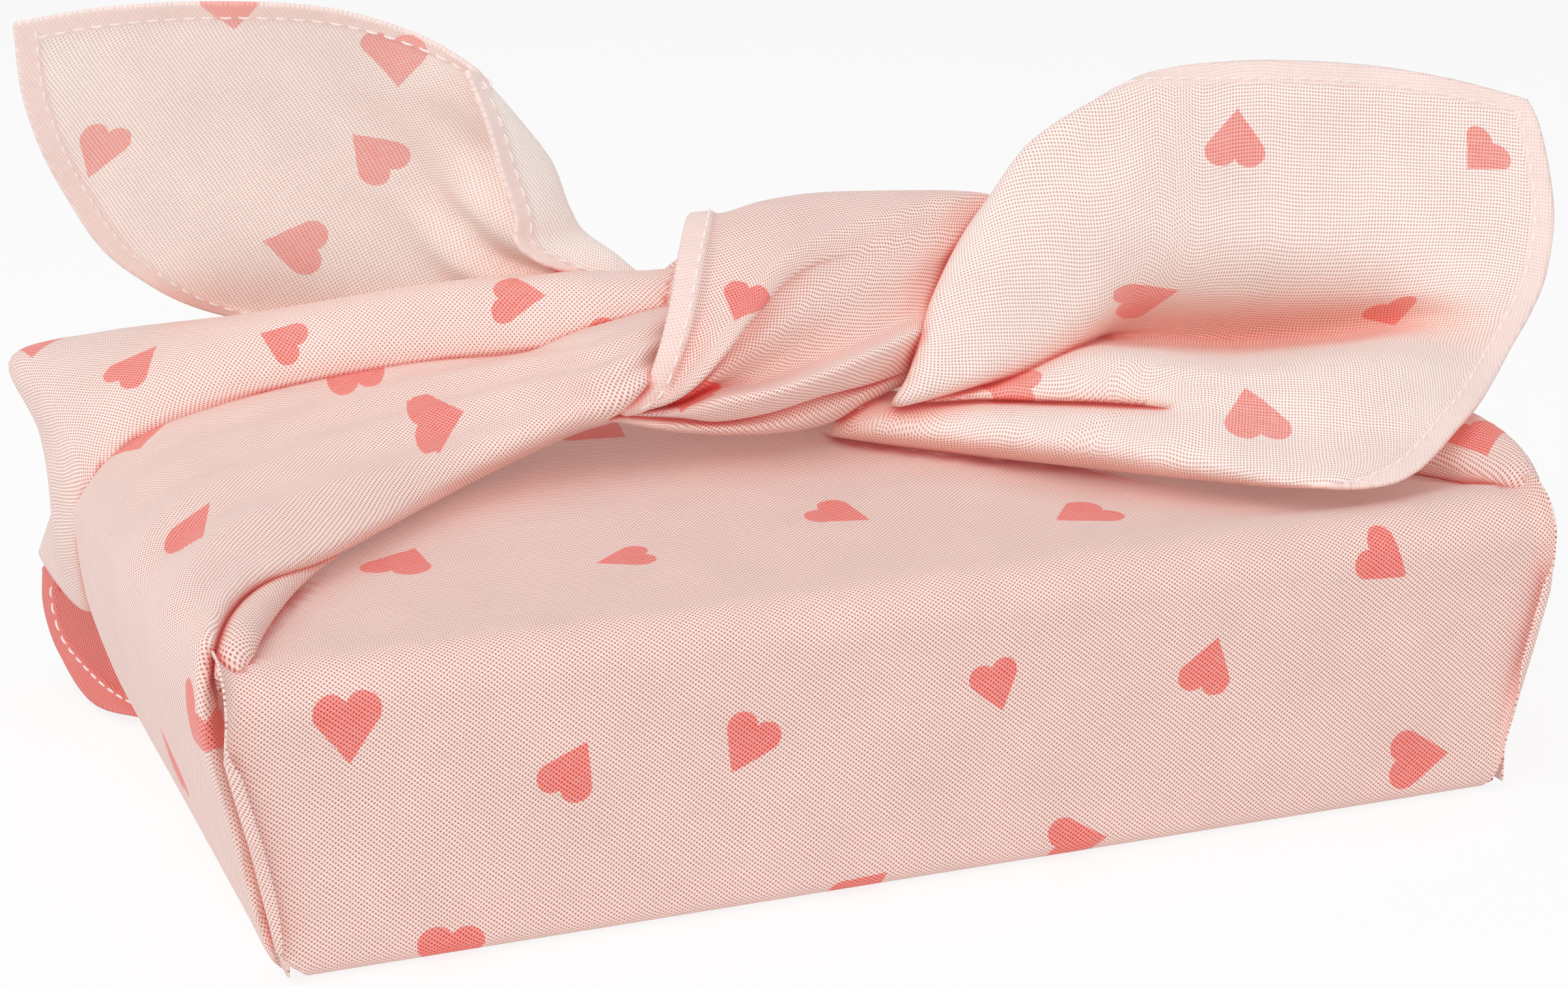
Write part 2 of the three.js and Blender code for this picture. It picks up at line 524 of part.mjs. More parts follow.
add('knot_middle_lobe', seat(middleLobe.geometry, [lowerLobe.grown]), ...CLOTH_FINISH, knot);
add('knot_band', seat(band.geometry, [lowerLobe.grown, middleLobe.grown]), ...CLOTH_FINISH, knot);
add('knot_core', seat(coreGeometry, [frontPanel.grown, ...knotSolids.slice(0, 3)]), ...CLOTH_FINISH, knot);
add('left_tail', seat(leftTail.geometry, [...knotSolids, leftRoll.grown]), ...CLOTH_FINISH, knot);
add('right_tail', seat(rightTail.geometry, [...knotSolids, frontPanel.grown, rightGather.grown]), ...CLOTH_FINISH, knot);

export default group;
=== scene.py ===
import math

import bpy
import numpy as np
from mathutils import Matrix, Vector
from mathutils.bvhtree import BVHTree


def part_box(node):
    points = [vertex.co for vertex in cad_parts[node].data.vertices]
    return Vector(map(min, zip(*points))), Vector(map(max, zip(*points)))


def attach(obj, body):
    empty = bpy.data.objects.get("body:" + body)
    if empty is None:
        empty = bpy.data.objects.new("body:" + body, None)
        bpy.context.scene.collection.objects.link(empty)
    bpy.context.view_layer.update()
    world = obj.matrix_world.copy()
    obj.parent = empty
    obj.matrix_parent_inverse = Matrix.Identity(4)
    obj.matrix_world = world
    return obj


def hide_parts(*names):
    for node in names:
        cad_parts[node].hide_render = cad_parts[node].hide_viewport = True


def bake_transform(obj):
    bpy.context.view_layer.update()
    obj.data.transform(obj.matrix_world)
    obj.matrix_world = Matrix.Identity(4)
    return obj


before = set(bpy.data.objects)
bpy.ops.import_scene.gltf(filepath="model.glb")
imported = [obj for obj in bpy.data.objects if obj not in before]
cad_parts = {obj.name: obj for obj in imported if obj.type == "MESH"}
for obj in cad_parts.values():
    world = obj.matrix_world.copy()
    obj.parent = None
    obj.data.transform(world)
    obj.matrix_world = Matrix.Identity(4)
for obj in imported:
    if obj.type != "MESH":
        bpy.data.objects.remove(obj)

bl_info = {
    "name": "Knotted cloth gift wrap",
    "version": (1, 0, 0),
    "blender": (4, 5, 0),
    "location": "View3D > Sidebar > Gift wrap",
    "description": "A printed cotton cloth wrapped round a gift box and knotted on top",
    "category": "Object",
}

MM = 0.001

# The photograph's size in pixels, which the heart places below are read from
PHOTO_WIDTH = 2408
PHOTO_HEIGHT = 1516
SENSOR_WIDTH = 36.0

# The box inside the cloth, in millimetres
HALF_DEPTH = 87.0
LID_TOP = 53.3

# How far the middle of the wrap's cloth lies off the box's long sides and off its lid
SIDE_GAP = 1.6
LID_GAP = 2.1

# The hearts' height in millimetres from tip to notch, and a place far outside any heart
HEART_HEIGHT = 11.2
NO_HEART = 60.0

# The folds below are nets of points in millimetres that each piece of cloth passes through.

# Left end and the front half of the left gather: rows from under the foot up the end,
# columns from the hem turned under the front edge to the part under the roll.
LEFT_END = [
    [(-112, -75, .9), (-113, -79, .9), (-113, -62, .9), (-113, -45, .9), (-113, -10, .9), (-113, 30, .9),
     (-113, 60, .9), (-113, 80, .9)],
    [(-115, -75, 2), (-118, -80, 2), (-118, -62, 2), (-118, -45, 2), (-118, -10, 2), (-118, 30, 2),
     (-118, 60, 2), (-117, 81, 2)],
    [(-118, -73, 28), (-123.4, -81, 28), (-124, -66, 28), (-125, -48, 28), (-126, -18, 28), (-127, 14, 27),
     (-126, 46, 26), (-121, 72, 24)],
    [(-122, -76, 46), (-127.2, -83.5, 48), (-128.3, -70, 48), (-129.5, -50, 48), (-130, -22, 48),
     (-130.5, 8, 47), (-129, 36, 43), (-122, 56, 42)],
]

# The same rows go on over the top to the knot, as places in the photograph: x and y in its
# pixels, and depth in millimetres from the middle of the box.
LEFT_GATHER = [
    [(342, 985, -70), (330, 992, -78), (313, 975, -78), (275, 930, -60), (226, 876, -38), (172, 818, -10),
     (121, 776, 26), (140, 762, 44)],
    [(394, 900, -50), (384, 908, -59), (370, 888, -59), (345, 848, -48), (308, 798, -30), (262, 742, -5),
     (202, 684, 34), (210, 668, 46)],
    [(528, 840, -33), (517, 849, -41), (505, 829, -42), (478, 786, -34), (440, 737, -20), (382, 676, 8),
     (324, 632, 32), (326, 616, 44)],
    [(712, 744, -8), (702, 750, -17.4), (690, 731, -19), (665, 691, -13), (632, 650, -3), (596, 608, 11),
     (562, 566, 27), (566, 550, 37)],
    [(870, 670, -4), (861, 673, -13), (850, 656, -16), (835, 625, -13), (822, 592, -6), (810, 560, 3),
     (797, 534, 13), (803, 518, 23)],
    [(952, 642, -12), (944, 638, -19.5), (938, 623, -22), (930, 598, -21), (924, 571, -17.5),
     (917, 546, -12), (906, 520, -5), (904, 504, 4)],
    [(1000, 600, -12), (993, 589, -20.5), (990, 576, -20.5), (992, 555, -18), (998, 532, -15.5),
     (1006, 508, -11.5), (1016, 484, -6), (1024, 468, 2)],
    [(1044, 586, -6), (1040, 572, -10), (1040, 560, -10), (1042, 542, -9), (1046, 522, -7), (1052, 502, -4),
     (1058, 482, 0), (1062, 468, 6)],
]

# Roll over the back half of the left gather, with the pointed ear on its third and fourth
# rows: rows from the left end to the knot, columns from its front fold over to its back edge.
LEFT_ROLL = [
    [(-119, 64, 21), (-125, 62, 21), (-128.2, 72, 23), (-130, 88, 26), (-126, 91, 25), (-118, 90, 23)],
    [(-122, 52, 38), (-128, 44, 39), (-130.5, 58, 41), (-126, 88, 38), (-123, 91, 42), (-117, 90, 46)],
    [(-121, 46, 51), (-126.5, 37, 52.5), (-130, 52, 55), (-128, 87, 54), (-124, 92, 56), (-116, 90, 55)],
    [(-113, 44, 59), (-118.5, 36, 61), (-124.5, 50, 67), (-132.5, 86, 69), (-120, 92, 63), (-108, 89, 58)],
    [(-101, 42, 65), (-105, 35, 67), (-107, 46, 76), (-114, 76, 75), (-104, 86, 66), (-95, 85, 58)],
    [(-82, 36, 70), (-85, 30, 72.5), (-85, 38, 83), (-87, 54, 81), (-84, 62, 72), (-82, 68, 60)],
    [(-57, 26, 75), (-59, 20, 77), (-59, 27, 88), (-58, 37, 87), (-58, 46, 76), (-58, 52, 63)],
    [(-36, 12, 79), (-38, 6, 81), (-37, 14, 91), (-34, 25, 90), (-34, 34, 80), (-34, 40, 68)],
    [(-18, 6, 83), (-20, 0, 85.5), (-18, 4, 91), (-16, 12, 92), (-16, 22, 84), (-16, 26, 76)],
    [(-4, 8, 83), (-5, 4, 86), (-4, 7, 92), (-4, 12, 93), (-4, 18, 86), (-4, 22, 78)],
]

# Right end and right gather, laid out as the left one, to its back edge
RIGHT_GATHER = [
    [(113, -83, .9), (113, -78, .9), (113, -45, .9), (113, 0, .9), (113, 45, .9), (113, 79, .9)],
    [(117, -84, 2), (118, -79, 2), (118, -45, 2), (118, 0, 2), (118, 45, 2), (118, 79, 2)],
    [(117, -76, 28), (121, -81, 28), (126, -60, 28), (127, 0, 28), (126, 50, 28), (121, 80, 28)],
    [(120, -80, 46), (124.5, -84, 49), (129.5, -66, 50), (130, 0, 50), (128, 50, 49), (123, 80, 48)],
    [(119, -76, 54.5), (123.5, -82.5, 57.5), (127.5, -62, 63), (126, -12, 62), (123, 40, 62), (119, 80, 59)],
    [(109, -57, 55), (112.5, -63, 59.5), (110, -46, 62), (108, -8, 66), (106, 35, 68), (104, 74, 60)],
    [(95, -41, 54), (98, -45, 60), (92, -26, 63), (88, 0, 69), (86, 30, 71), (86, 66, 60)],
    [(74, -25, 55), (76, -30, 62), (72, -14, 67), (70, 6, 75), (69, 26, 76), (69, 52, 63)],
    [(56, -9, 57), (57, -14, 66), (55, -4, 73), (54, 8, 81), (53, 20, 82), (53, 36, 68)],
    [(46, -2, 58), (46, -6, 70), (45, 0, 76), (44, 7, 83), (44, 16, 83), (44, 26, 74)],
]

# The knot's folds fan out from its pinch on the left. Each row is one line of the folds, from
# the hemmed edge of the band to the lower fold. Columns go out from the pinch.
KNOT_FOLDS = [
    [(946, 630, -17), (990, 593, -20), (1011, 548, -20.5), (1029, 480, -18.5), (1042, 408, -13),
     (1052, 358, -6), (1060, 331, 2)],
    [(950, 632, -18), (1002, 604, -21.5), (1030, 560, -22.5), (1055, 500, -21), (1072, 430, -15.5),
     (1082, 368, -7.5), (1088, 329, 2)],
    [(953, 633, -18), (1012, 607, -21.5), (1046, 560, -22.5), (1074, 503, -20.5), (1091, 440, -15.5),
     (1104, 375, -7.5), (1112, 330, 2.5)],
    [(956, 634, -18), (1016, 610, -22), (1054, 570, -24), (1088, 515, -23), (1116, 450, -18),
     (1146, 375, -9), (1180, 311, 3)],
    [(958, 635, -18), (1020, 612, -22.5), (1060, 576, -25.5), (1098, 524, -25.5), (1134, 462, -20.5),
     (1192, 378, -11), (1290, 299, 3)],
    [(960, 635, -18), (1024, 614, -23), (1064, 582, -26.5), (1106, 532, -27), (1150, 470, -22),
     (1240, 372, -12.5), (1500, 299, 2.5)],
    [(962, 636, -18), (1028, 618, -23), (1072, 589, -27), (1116, 540, -27.5), (1162, 482, -22.5),
     (1254, 400, -14), (1500, 345, -3)],
    [(962, 636, -17), (1026, 618, -19), (1068, 588, -20), (1112, 538, -20), (1160, 482, -18),
     (1254, 411, -13.5), (1478, 376, -7)],
    [(963, 636, -17), (1030, 620, -19), (1080, 592, -20.5), (1134, 552, -21), (1200, 500, -19),
     (1290, 448, -15), (1436, 410, -10)],
    [(964, 636, -17), (1036, 622, -18.5), (1092, 596, -20), (1158, 570, -20), (1236, 530, -18.5),
     (1320, 486, -16), (1434, 444, -11.5)],
    [(965, 636, -17), (1042, 624, -19), (1100, 600, -21), (1172, 586, -22), (1258, 554, -21),
     (1338, 518, -18.5), (1432, 476, -14)],
    [(965, 636, -18), (1046, 628, -23), (1106, 614, -28), (1182, 602, -30.5), (1266, 574, -29.5),
     (1344, 542, -26.5), (1424, 508, -20.5)],
    [(963, 637, -18), (1042, 640, -22.5), (1104, 645, -26), (1182, 632, -27.5), (1260, 607, -26.5),
     (1336, 587, -23), (1410, 562, -18)],
    [(958, 637, -16), (1036, 634, -18.5), (1102, 637, -20.5), (1180, 624, -21), (1258, 600, -20.5),
     (1334, 580, -18), (1408, 556, -14)],
    [(948, 641, -17), (1028, 652, -21), (1104, 657, -24), (1182, 653, -25), (1258, 635, -24),
     (1332, 604, -21), (1400, 576, -16)],
    [(938, 645, -16), (1024, 660, -19), (1102, 666, -21.5), (1190, 664, -22), (1268, 650, -20.5),
     (1334, 616, -18), (1396, 588, -14)],
    [(940, 641, -10), (1024, 650, -11), (1102, 655, -12), (1190, 652, -12), (1268, 638, -11),
     (1334, 606, -9), (1396, 580, -7)],
]

# Where the same rows go on over the top and down the back, or in under the right tail, in
# millimetres
KNOT_BACK = [
    [(-9, 11, 100.5), (-5, 27, 89), (-4, 31, 74)], [(-5, 11, 100.5), (0, 28, 89), (1, 32, 74)],
    [(-1, 12, 100.5), (4, 29, 89), (6, 33, 74)], [(8, 13, 101.5), (10, 29, 89), (11, 33, 74)],
    [(22, 13, 101), (18, 30, 89), (18, 33, 74)], [(48, 12, 96), (40, 27, 87), (34, 31, 74)],
    [(51, 7, 92), (45, 22, 86), (40, 29, 74)], [(50, 2, 92), (46, 18, 87), (42, 26, 73)],
    [(49, 0, 90), (48, 12, 85), (45, 20, 72)], [(48, -2, 87), (48, 8, 82), (46, 14, 71)],
    [(47, -4, 83), (47, 6, 78), (45, 11, 70)], [(46, -6, 80), (46, 5, 75), (44, 10, 69)],
    [(44, -5, 73), (44, 5, 71), (43, 9, 67)], [(43, -3, 72), (43, 5, 70), (42, 8, 66)],
    [(43, -3, 70), (42, 4, 68), (41, 7, 65)], [(42, -2, 67), (40, 4, 65), (38, 7, 63)],
    [(41, 1, 66), (38, 5, 64), (35, 8, 62)],
]

# Left tail: rows from the knot to its top hem, columns from the left hem to the hem that
# is folded forward.
LEFT_TAIL = [
    [(-24, 40, 74), (-21, 40, 76), (-18, 38, 78), (-16, 34, 80), (-14, 29, 82), (-12, 24, 85),
     (-18, 19, 84)],
    [(-84, 68, 76), (-70, 66, 76), (-57, 60, 78), (-47, 54, 81), (-39, 46, 85), (-24, 30, 94),
     (-40, 20, 96)],
    [(-111, 62, 91), (-89, 63, 95), (-70, 62, 97), (-53, 56, 98), (-43, 46, 98), (-28, 31, 101),
     (-42, 20, 104)],
    [(-124, 52, 111), (-102, 56, 114), (-82, 58, 115), (-62, 54, 114), (-47, 46, 112), (-31, 33, 111),
     (-44, 21, 112)],
    [(-131, 42, 130), (-110, 46, 132), (-89, 50, 131), (-68, 47, 130), (-53, 40, 126), (-38, 32, 121),
     (-46, 23, 122)],
    [(-133, 34, 147), (-116, 36, 148), (-95, 38, 147), (-73, 38, 144), (-56, 35, 138), (-46, 30, 131),
     (-49, 25, 132)],
]

# Right tail: rows from inside the knot to the right hem, columns from the hem along its top
# edge down the petal, into the trough, over the trough's lip, in under it and round the tube.
RIGHT_TAIL = [
    [(1520, 372, 12), (1500, 380, 4), (1462, 455, -4), (1440, 520, -9), (1425, 560, -12), (1400, 596, -14),
     (1420, 604, -8), (1420, 606, -9), (1412, 608, -11), (1398, 608, -12), (1372, 602, -10),
     (1336, 604, -13), (1302, 622, -14), (1284, 646, -14), (1274, 668, -12), (1272, 664, -8)],
    [(1500, 366, 4), (1474, 374, -8), (1432, 458, -18), (1412, 530, -23), (1396, 580, -27),
     (1374, 623, -28), (1402, 611, -18), (1410, 608, -20), (1412, 612, -23), (1404, 617, -24),
     (1384, 615, -18), (1356, 624, -21), (1332, 642, -23), (1314, 660, -22.5), (1300, 672, -19),
     (1298, 668, -12)],
    [(1562, 298, 4), (1520, 302, -8), (1498, 385, -17), (1496, 455, -22), (1496, 525, -26),
     (1496, 591, -28), (1520, 574, -12), (1524, 582, -22), (1520, 598, -28), (1512, 612, -29),
     (1502, 611, -25.5), (1490, 632, -31), (1480, 656, -34), (1466, 679, -33.5), (1452, 694, -28),
     (1448, 690, -19)],
    [(1642, 214, 4), (1592, 212, -6), (1598, 300, -13), (1604, 375, -18), (1612, 450, -21),
     (1630, 552, -23), (1644, 528, -6), (1656, 541, -25), (1640, 574, -32), (1612, 613, -34),
     (1606, 612, -30), (1600, 638, -38), (1592, 665, -42.5), (1582, 690, -42.5), (1572, 706, -37.5),
     (1568, 702, -28)],
    [(1745, 122, -1), (1722, 150, -6), (1742, 225, -10), (1748, 300, -14), (1748, 380, -17),
     (1744, 455, -15), (1742, 518, -3), (1740, 544, -31), (1730, 574, -38), (1712, 616, -40),
     (1708, 614, -36), (1708, 642, -44), (1706, 672, -49.5), (1700, 700, -50.5), (1692, 719, -46),
     (1686, 714, -38)],
    [(1898, 97, -3), (1902, 140, -6), (1910, 215, -9), (1914, 300, -12), (1914, 380, -15),
     (1905, 450, -12), (1892, 526, -2), (1884, 562, -37), (1872, 594, -45), (1856, 630, -50),
     (1853, 642, -52), (1850, 656, -54.5), (1846, 688, -60), (1836, 716, -62.5), (1824, 733, -59),
     (1812, 728, -50)],
    [(2075, 101, -5), (2082, 145, -8), (2094, 220, -11), (2100, 300, -15), (2098, 385, -19),
     (2084, 450, -17), (2058, 516, -11), (2036, 553, -40), (2018, 596, -50), (1998, 650, -56),
     (1992, 662, -57.5), (1984, 676, -59.5), (1974, 704, -65), (1958, 730, -69), (1940, 743, -68),
     (1920, 738, -62)],
    [(2218, 122, -9), (2226, 165, -12), (2240, 240, -15), (2246, 310, -20), (2238, 390, -24),
     (2218, 450, -26), (2186, 506, -25), (2156, 546, -45), (2134, 588, -53), (2104, 640, -60),
     (2092, 662, -62), (2078, 686, -66), (2064, 710, -71), (2044, 732, -75), (2020, 745, -75),
     (1992, 744, -71)],
    [(2344, 155, -14), (2360, 190, -17), (2376, 262, -21), (2383, 340, -26), (2370, 425, -31),
     (2345, 485, -36), (2316, 536, -43), (2290, 584, -51), (2265, 624, -59), (2234, 660, -66),
     (2215, 682, -70), (2195, 704, -74), (2172, 724, -77), (2140, 740, -79), (2100, 747, -79),
     (2056, 748, -78)],
]

# Tucked corner that hangs behind the left end: rows from the end out to its rim, columns
# downwards.
LOOSE_FLAP = [
    [(128, 872, 70), (150, 920, 68), (182, 975, 62), (214, 1025, 55), (246, 1078, 47)],
    [(100, 878, 80), (112, 932, 78), (140, 990, 72), (176, 1040, 63), (222, 1086, 50)],
    [(68, 872, 87), (70, 932, 87), (94, 1004, 81), (146, 1078, 61), (226, 1102, 46)],
]

# Route and radii of the small roll in the left front corner, from its open foot to the gather
CORNER_ROLL = [(352, 1075, -81), (354, 1034, -81.5), (366, 987, -75.5), (390, 948, -64), (432, 905, -51),
               (478, 872, -42), (515, 852, -36)]
CORNER_ROLL_RADII = [2.0, 3.0, 3.5, 3.5, 2.7, 1.5, 0.5]

# How far the sides of the wrap stand out from the middle at some heights, in millimetres
LEFT_EDGE = [(0, 113.6), (3, 116.5), (6, 118.6), (26, 122), (38, 124.6), (43, 125.6), (48, 125.4),
             (54, 124.8), (60, 124.6)]
RIGHT_EDGE = [(0, 113.6), (3, 116), (9, 116.4), (16, 117.8), (26, 120.4), (40, 124), (54, 124.2), (60, 124.2)]

# Hearts in view: the photograph's pixels of each one's tip and of its notch
WRAP_HEARTS = [
    ((537, 1172), (532, 1079)), ((641, 840), (598, 882)), ((915, 867), (990, 853)),
    ((1336, 800), (1258, 784)), ((1621, 801), (1692, 785)), ((2160, 886), (2104, 845)),
    ((1539, 1091), (1522, 1026)), ((1870, 978), (1844, 1053)), ((1123, 1187), (1164, 1112)),
    ((902, 1138), (860, 1213)), ((2223, 1155), (2144, 1168)), ((1699, 1284), (1620, 1300)),
    ((1361, 1339), (1298, 1395)), ((686, 1526), (694, 1435)), ((965, 673), (891, 660)),
]
LEFT_GATHER_HEARTS = [
    ((221, 707), (203, 653)), ((524, 508), (550, 588), 1.0), ((712, 632), (642, 653), 1.3),
    ((323, 771), (274, 845), 0.55), ((297, 1160), (299, 1067)), ((247, 1114), (282, 1203)),
]
LEFT_ROLL_HEARTS = [
    ((50, 553), (58, 488)), ((241, 532), (184, 583)), ((401, 513), (455, 530)),
    ((839, 454), (766, 459)), ((946, 577), (946, 498)),
]
LEFT_TAIL_HEARTS = [
    ((360, 45), (356, -20)), ((612, 136), (605, 56)), ((135, 272), (166, 202)),
    ((541, 205), (599, 259)), ((403, 369), (486, 382)),
]
KNOT_HEARTS = [((1129, 491), (1150, 446)), ((1020, 632), (1086, 590))]
RIGHT_TAIL_HEARTS = [
    ((1901, 167), (1896, 245), 1.1), ((2254, 259), (2292, 221), 1.5), ((1811, 446), (1724, 466), 0.55),
    ((2142, 500), (2132, 468), 2.4), ((1500, 593), (1582, 593)), ((1909, 585), (1937, 679)),
]
RIGHT_GATHER_HEARTS = [((2284, 700), (2258, 652))]
LOOSE_FLAP_HEARTS = [((94, 910), (94, 848))]


def length_setting(name, description, millimetres):
    return bpy.props.FloatProperty(
        name=name, description=description, default=millimetres * MM, unit="LENGTH")


def colour_setting(name, description, value):
    return bpy.props.FloatVectorProperty(
        name=name, description=description, subtype="COLOR", default=value, min=0, max=1)


def turn_setting(name, description, degrees):
    return bpy.props.FloatProperty(
        name=name, description=description, unit="ROTATION", default=math.radians(degrees))


class ClothSettings(bpy.types.PropertyGroup):
    thickness: length_setting("Thickness", "Thickness of a single layer of cloth", 0.45)
    hem_thickness: length_setting("Hem thickness", "Thickness of the rolled hem", 1.1)
    hem_width: length_setting("Hem width", "Width of the rolled hem", 4.4)
    warp_pitch: length_setting("Warp pitch", "Distance between warp threads", 0.72)
    weft_pitch: length_setting("Weft pitch", "Distance between weft threads", 0.62)
    stitch_pitch: length_setting("Stitch pitch", "Distance from one hem stitch to the next", 3.6)
    stitch_length: length_setting("Stitch length", "Length of one hem stitch", 2.5)
    thread_radius: length_setting("Thread radius", "Radius of the sewing thread", 0.27)
    cloth_colour: colour_setting("Cloth", "Colour of the threads of the cloth", (0.886, 0.70, 0.643))
    # Painted light: the paler thread colour used where light would come through a single layer
    painted_light_colour: colour_setting(
        "Single layer", "Colour of the threads where light comes through one layer", (0.99, 0.925, 0.87))
    # Painted shade: the dark colour of the small gaps between threads, where shade lies
    pore_shade_colour: colour_setting("Pores", "Colour in the small gaps between threads", (0.52, 0.155, 0.125))
    heart_colour: colour_setting("Hearts", "Colour of the printed hearts", (0.93, 0.25, 0.21))
    thread_colour: colour_setting("Sewing thread", "Colour of the hem stitches", (0.97, 0.92, 0.91))


class BoxSettings(bpy.types.PropertyGroup):
    board_colour: colour_setting("Paperboard", "Colour of the gift box", (0.893, 0.863, 0.807))
    fibre_size: length_setting("Fibre size", "Size of the mottling in the paper", 1.5)


class StudioSettings(bpy.types.PropertyGroup):
    camera_place: bpy.props.FloatVectorProperty(
        name="Camera place", description="Where the camera stands", subtype="XYZ", unit="LENGTH",
        default=(-0.2311, -0.6991, 0.2789))
    azimuth: turn_setting("Azimuth", "Turn of the camera from straight in front", -18.63)
    elevation: turn_setting("Elevation", "Height angle of the camera", 17.43)
    roll: turn_setting("Roll", "Tilt of the camera about its line of sight", -1.56)
    lens: bpy.props.FloatProperty(name="Lens", description="Focal length in millimetres", default=90.0)
    sky_strength: bpy.props.FloatProperty(
        name="Sky", description="Strength of the even light from all sides", default=0.6)
    key_strength: bpy.props.FloatProperty(
        name="Key light", description="Power of the large soft light", default=8.5)
    floor_colour: colour_setting("Floor", "Colour of the floor", (0.93, 0.93, 0.93))


class Socket:
    """A shader socket that Python's operators work on, adding Math nodes as they go."""

    def __init__(self, tree, output):
        self.tree = tree
        self.output = output

    def math(self, operation, *values):
        return add_node(self.tree, "ShaderNodeMath", {"operation": operation},
                        dict(enumerate((self, *values))))

    def __rsub__(self, other):
        return self * -1 + other

    def step(self, low, high):
        """0 below low and 1 above high, with a smooth rise between."""
        return add_node(self.tree, "ShaderNodeMapRange", {"interpolation_type": "SMOOTHSTEP"},
                        {"Value": self, "From Min": low, "From Max": high})


OPERATIONS = {
    "__add__": "ADD", "__radd__": "ADD", "__mul__": "MULTIPLY", "__rmul__": "MULTIPLY",
    "__sub__": "SUBTRACT", "__truediv__": "DIVIDE", "__pow__": "POWER", "__abs__": "ABSOLUTE",
    "rounded": "ROUND", "cosine": "COSINE", "least": "MINIMUM", "most": "MAXIMUM",
}
for method, operation in OPERATIONS.items():
    setattr(Socket, method, lambda self, *others, kind=operation: self.math(kind, *others))


def add_node(tree, kind, settings=None, inputs=None, output=0):
    """Adds one node: its settings first, then the values or links of its sockets."""
    node = tree.nodes.new(kind)
    for name, value in (settings or {}).items():
        setattr(node, name, value)
    for name, value in (inputs or {}).items():
        if isinstance(value, Socket):
            tree.links.new(value.output, node.inputs[name])
        else:
            node.inputs[name].default_value = value
    return Socket(tree, node.outputs[output]) if node.outputs else None


def blend_colours(tree, share, first, second, mode="MIX"):
    colour = {"data_type": "RGBA", "blend_type": mode}
    first = (*first, 1) if isinstance(first, (tuple, list)) else first
    second = (*second, 1) if isinstance(second, (tuple, list)) else second
    return add_node(tree, "ShaderNodeMix", colour, {0: share, 6: first, 7: second}, output=2)


def new_material(name):
    material = bpy.data.materials.new(name)
    material.use_nodes = True
    material.node_tree.nodes.clear()
    return material


def finish_surface(material, inputs):
    """Puts a Principled shader with these inputs on the material's output."""
    tree = material.node_tree
    shader = add_node(tree, "ShaderNodeBsdfPrincipled", None, inputs)
    add_node(tree, "ShaderNodeOutputMaterial", None, {"Surface": shader})
    return material


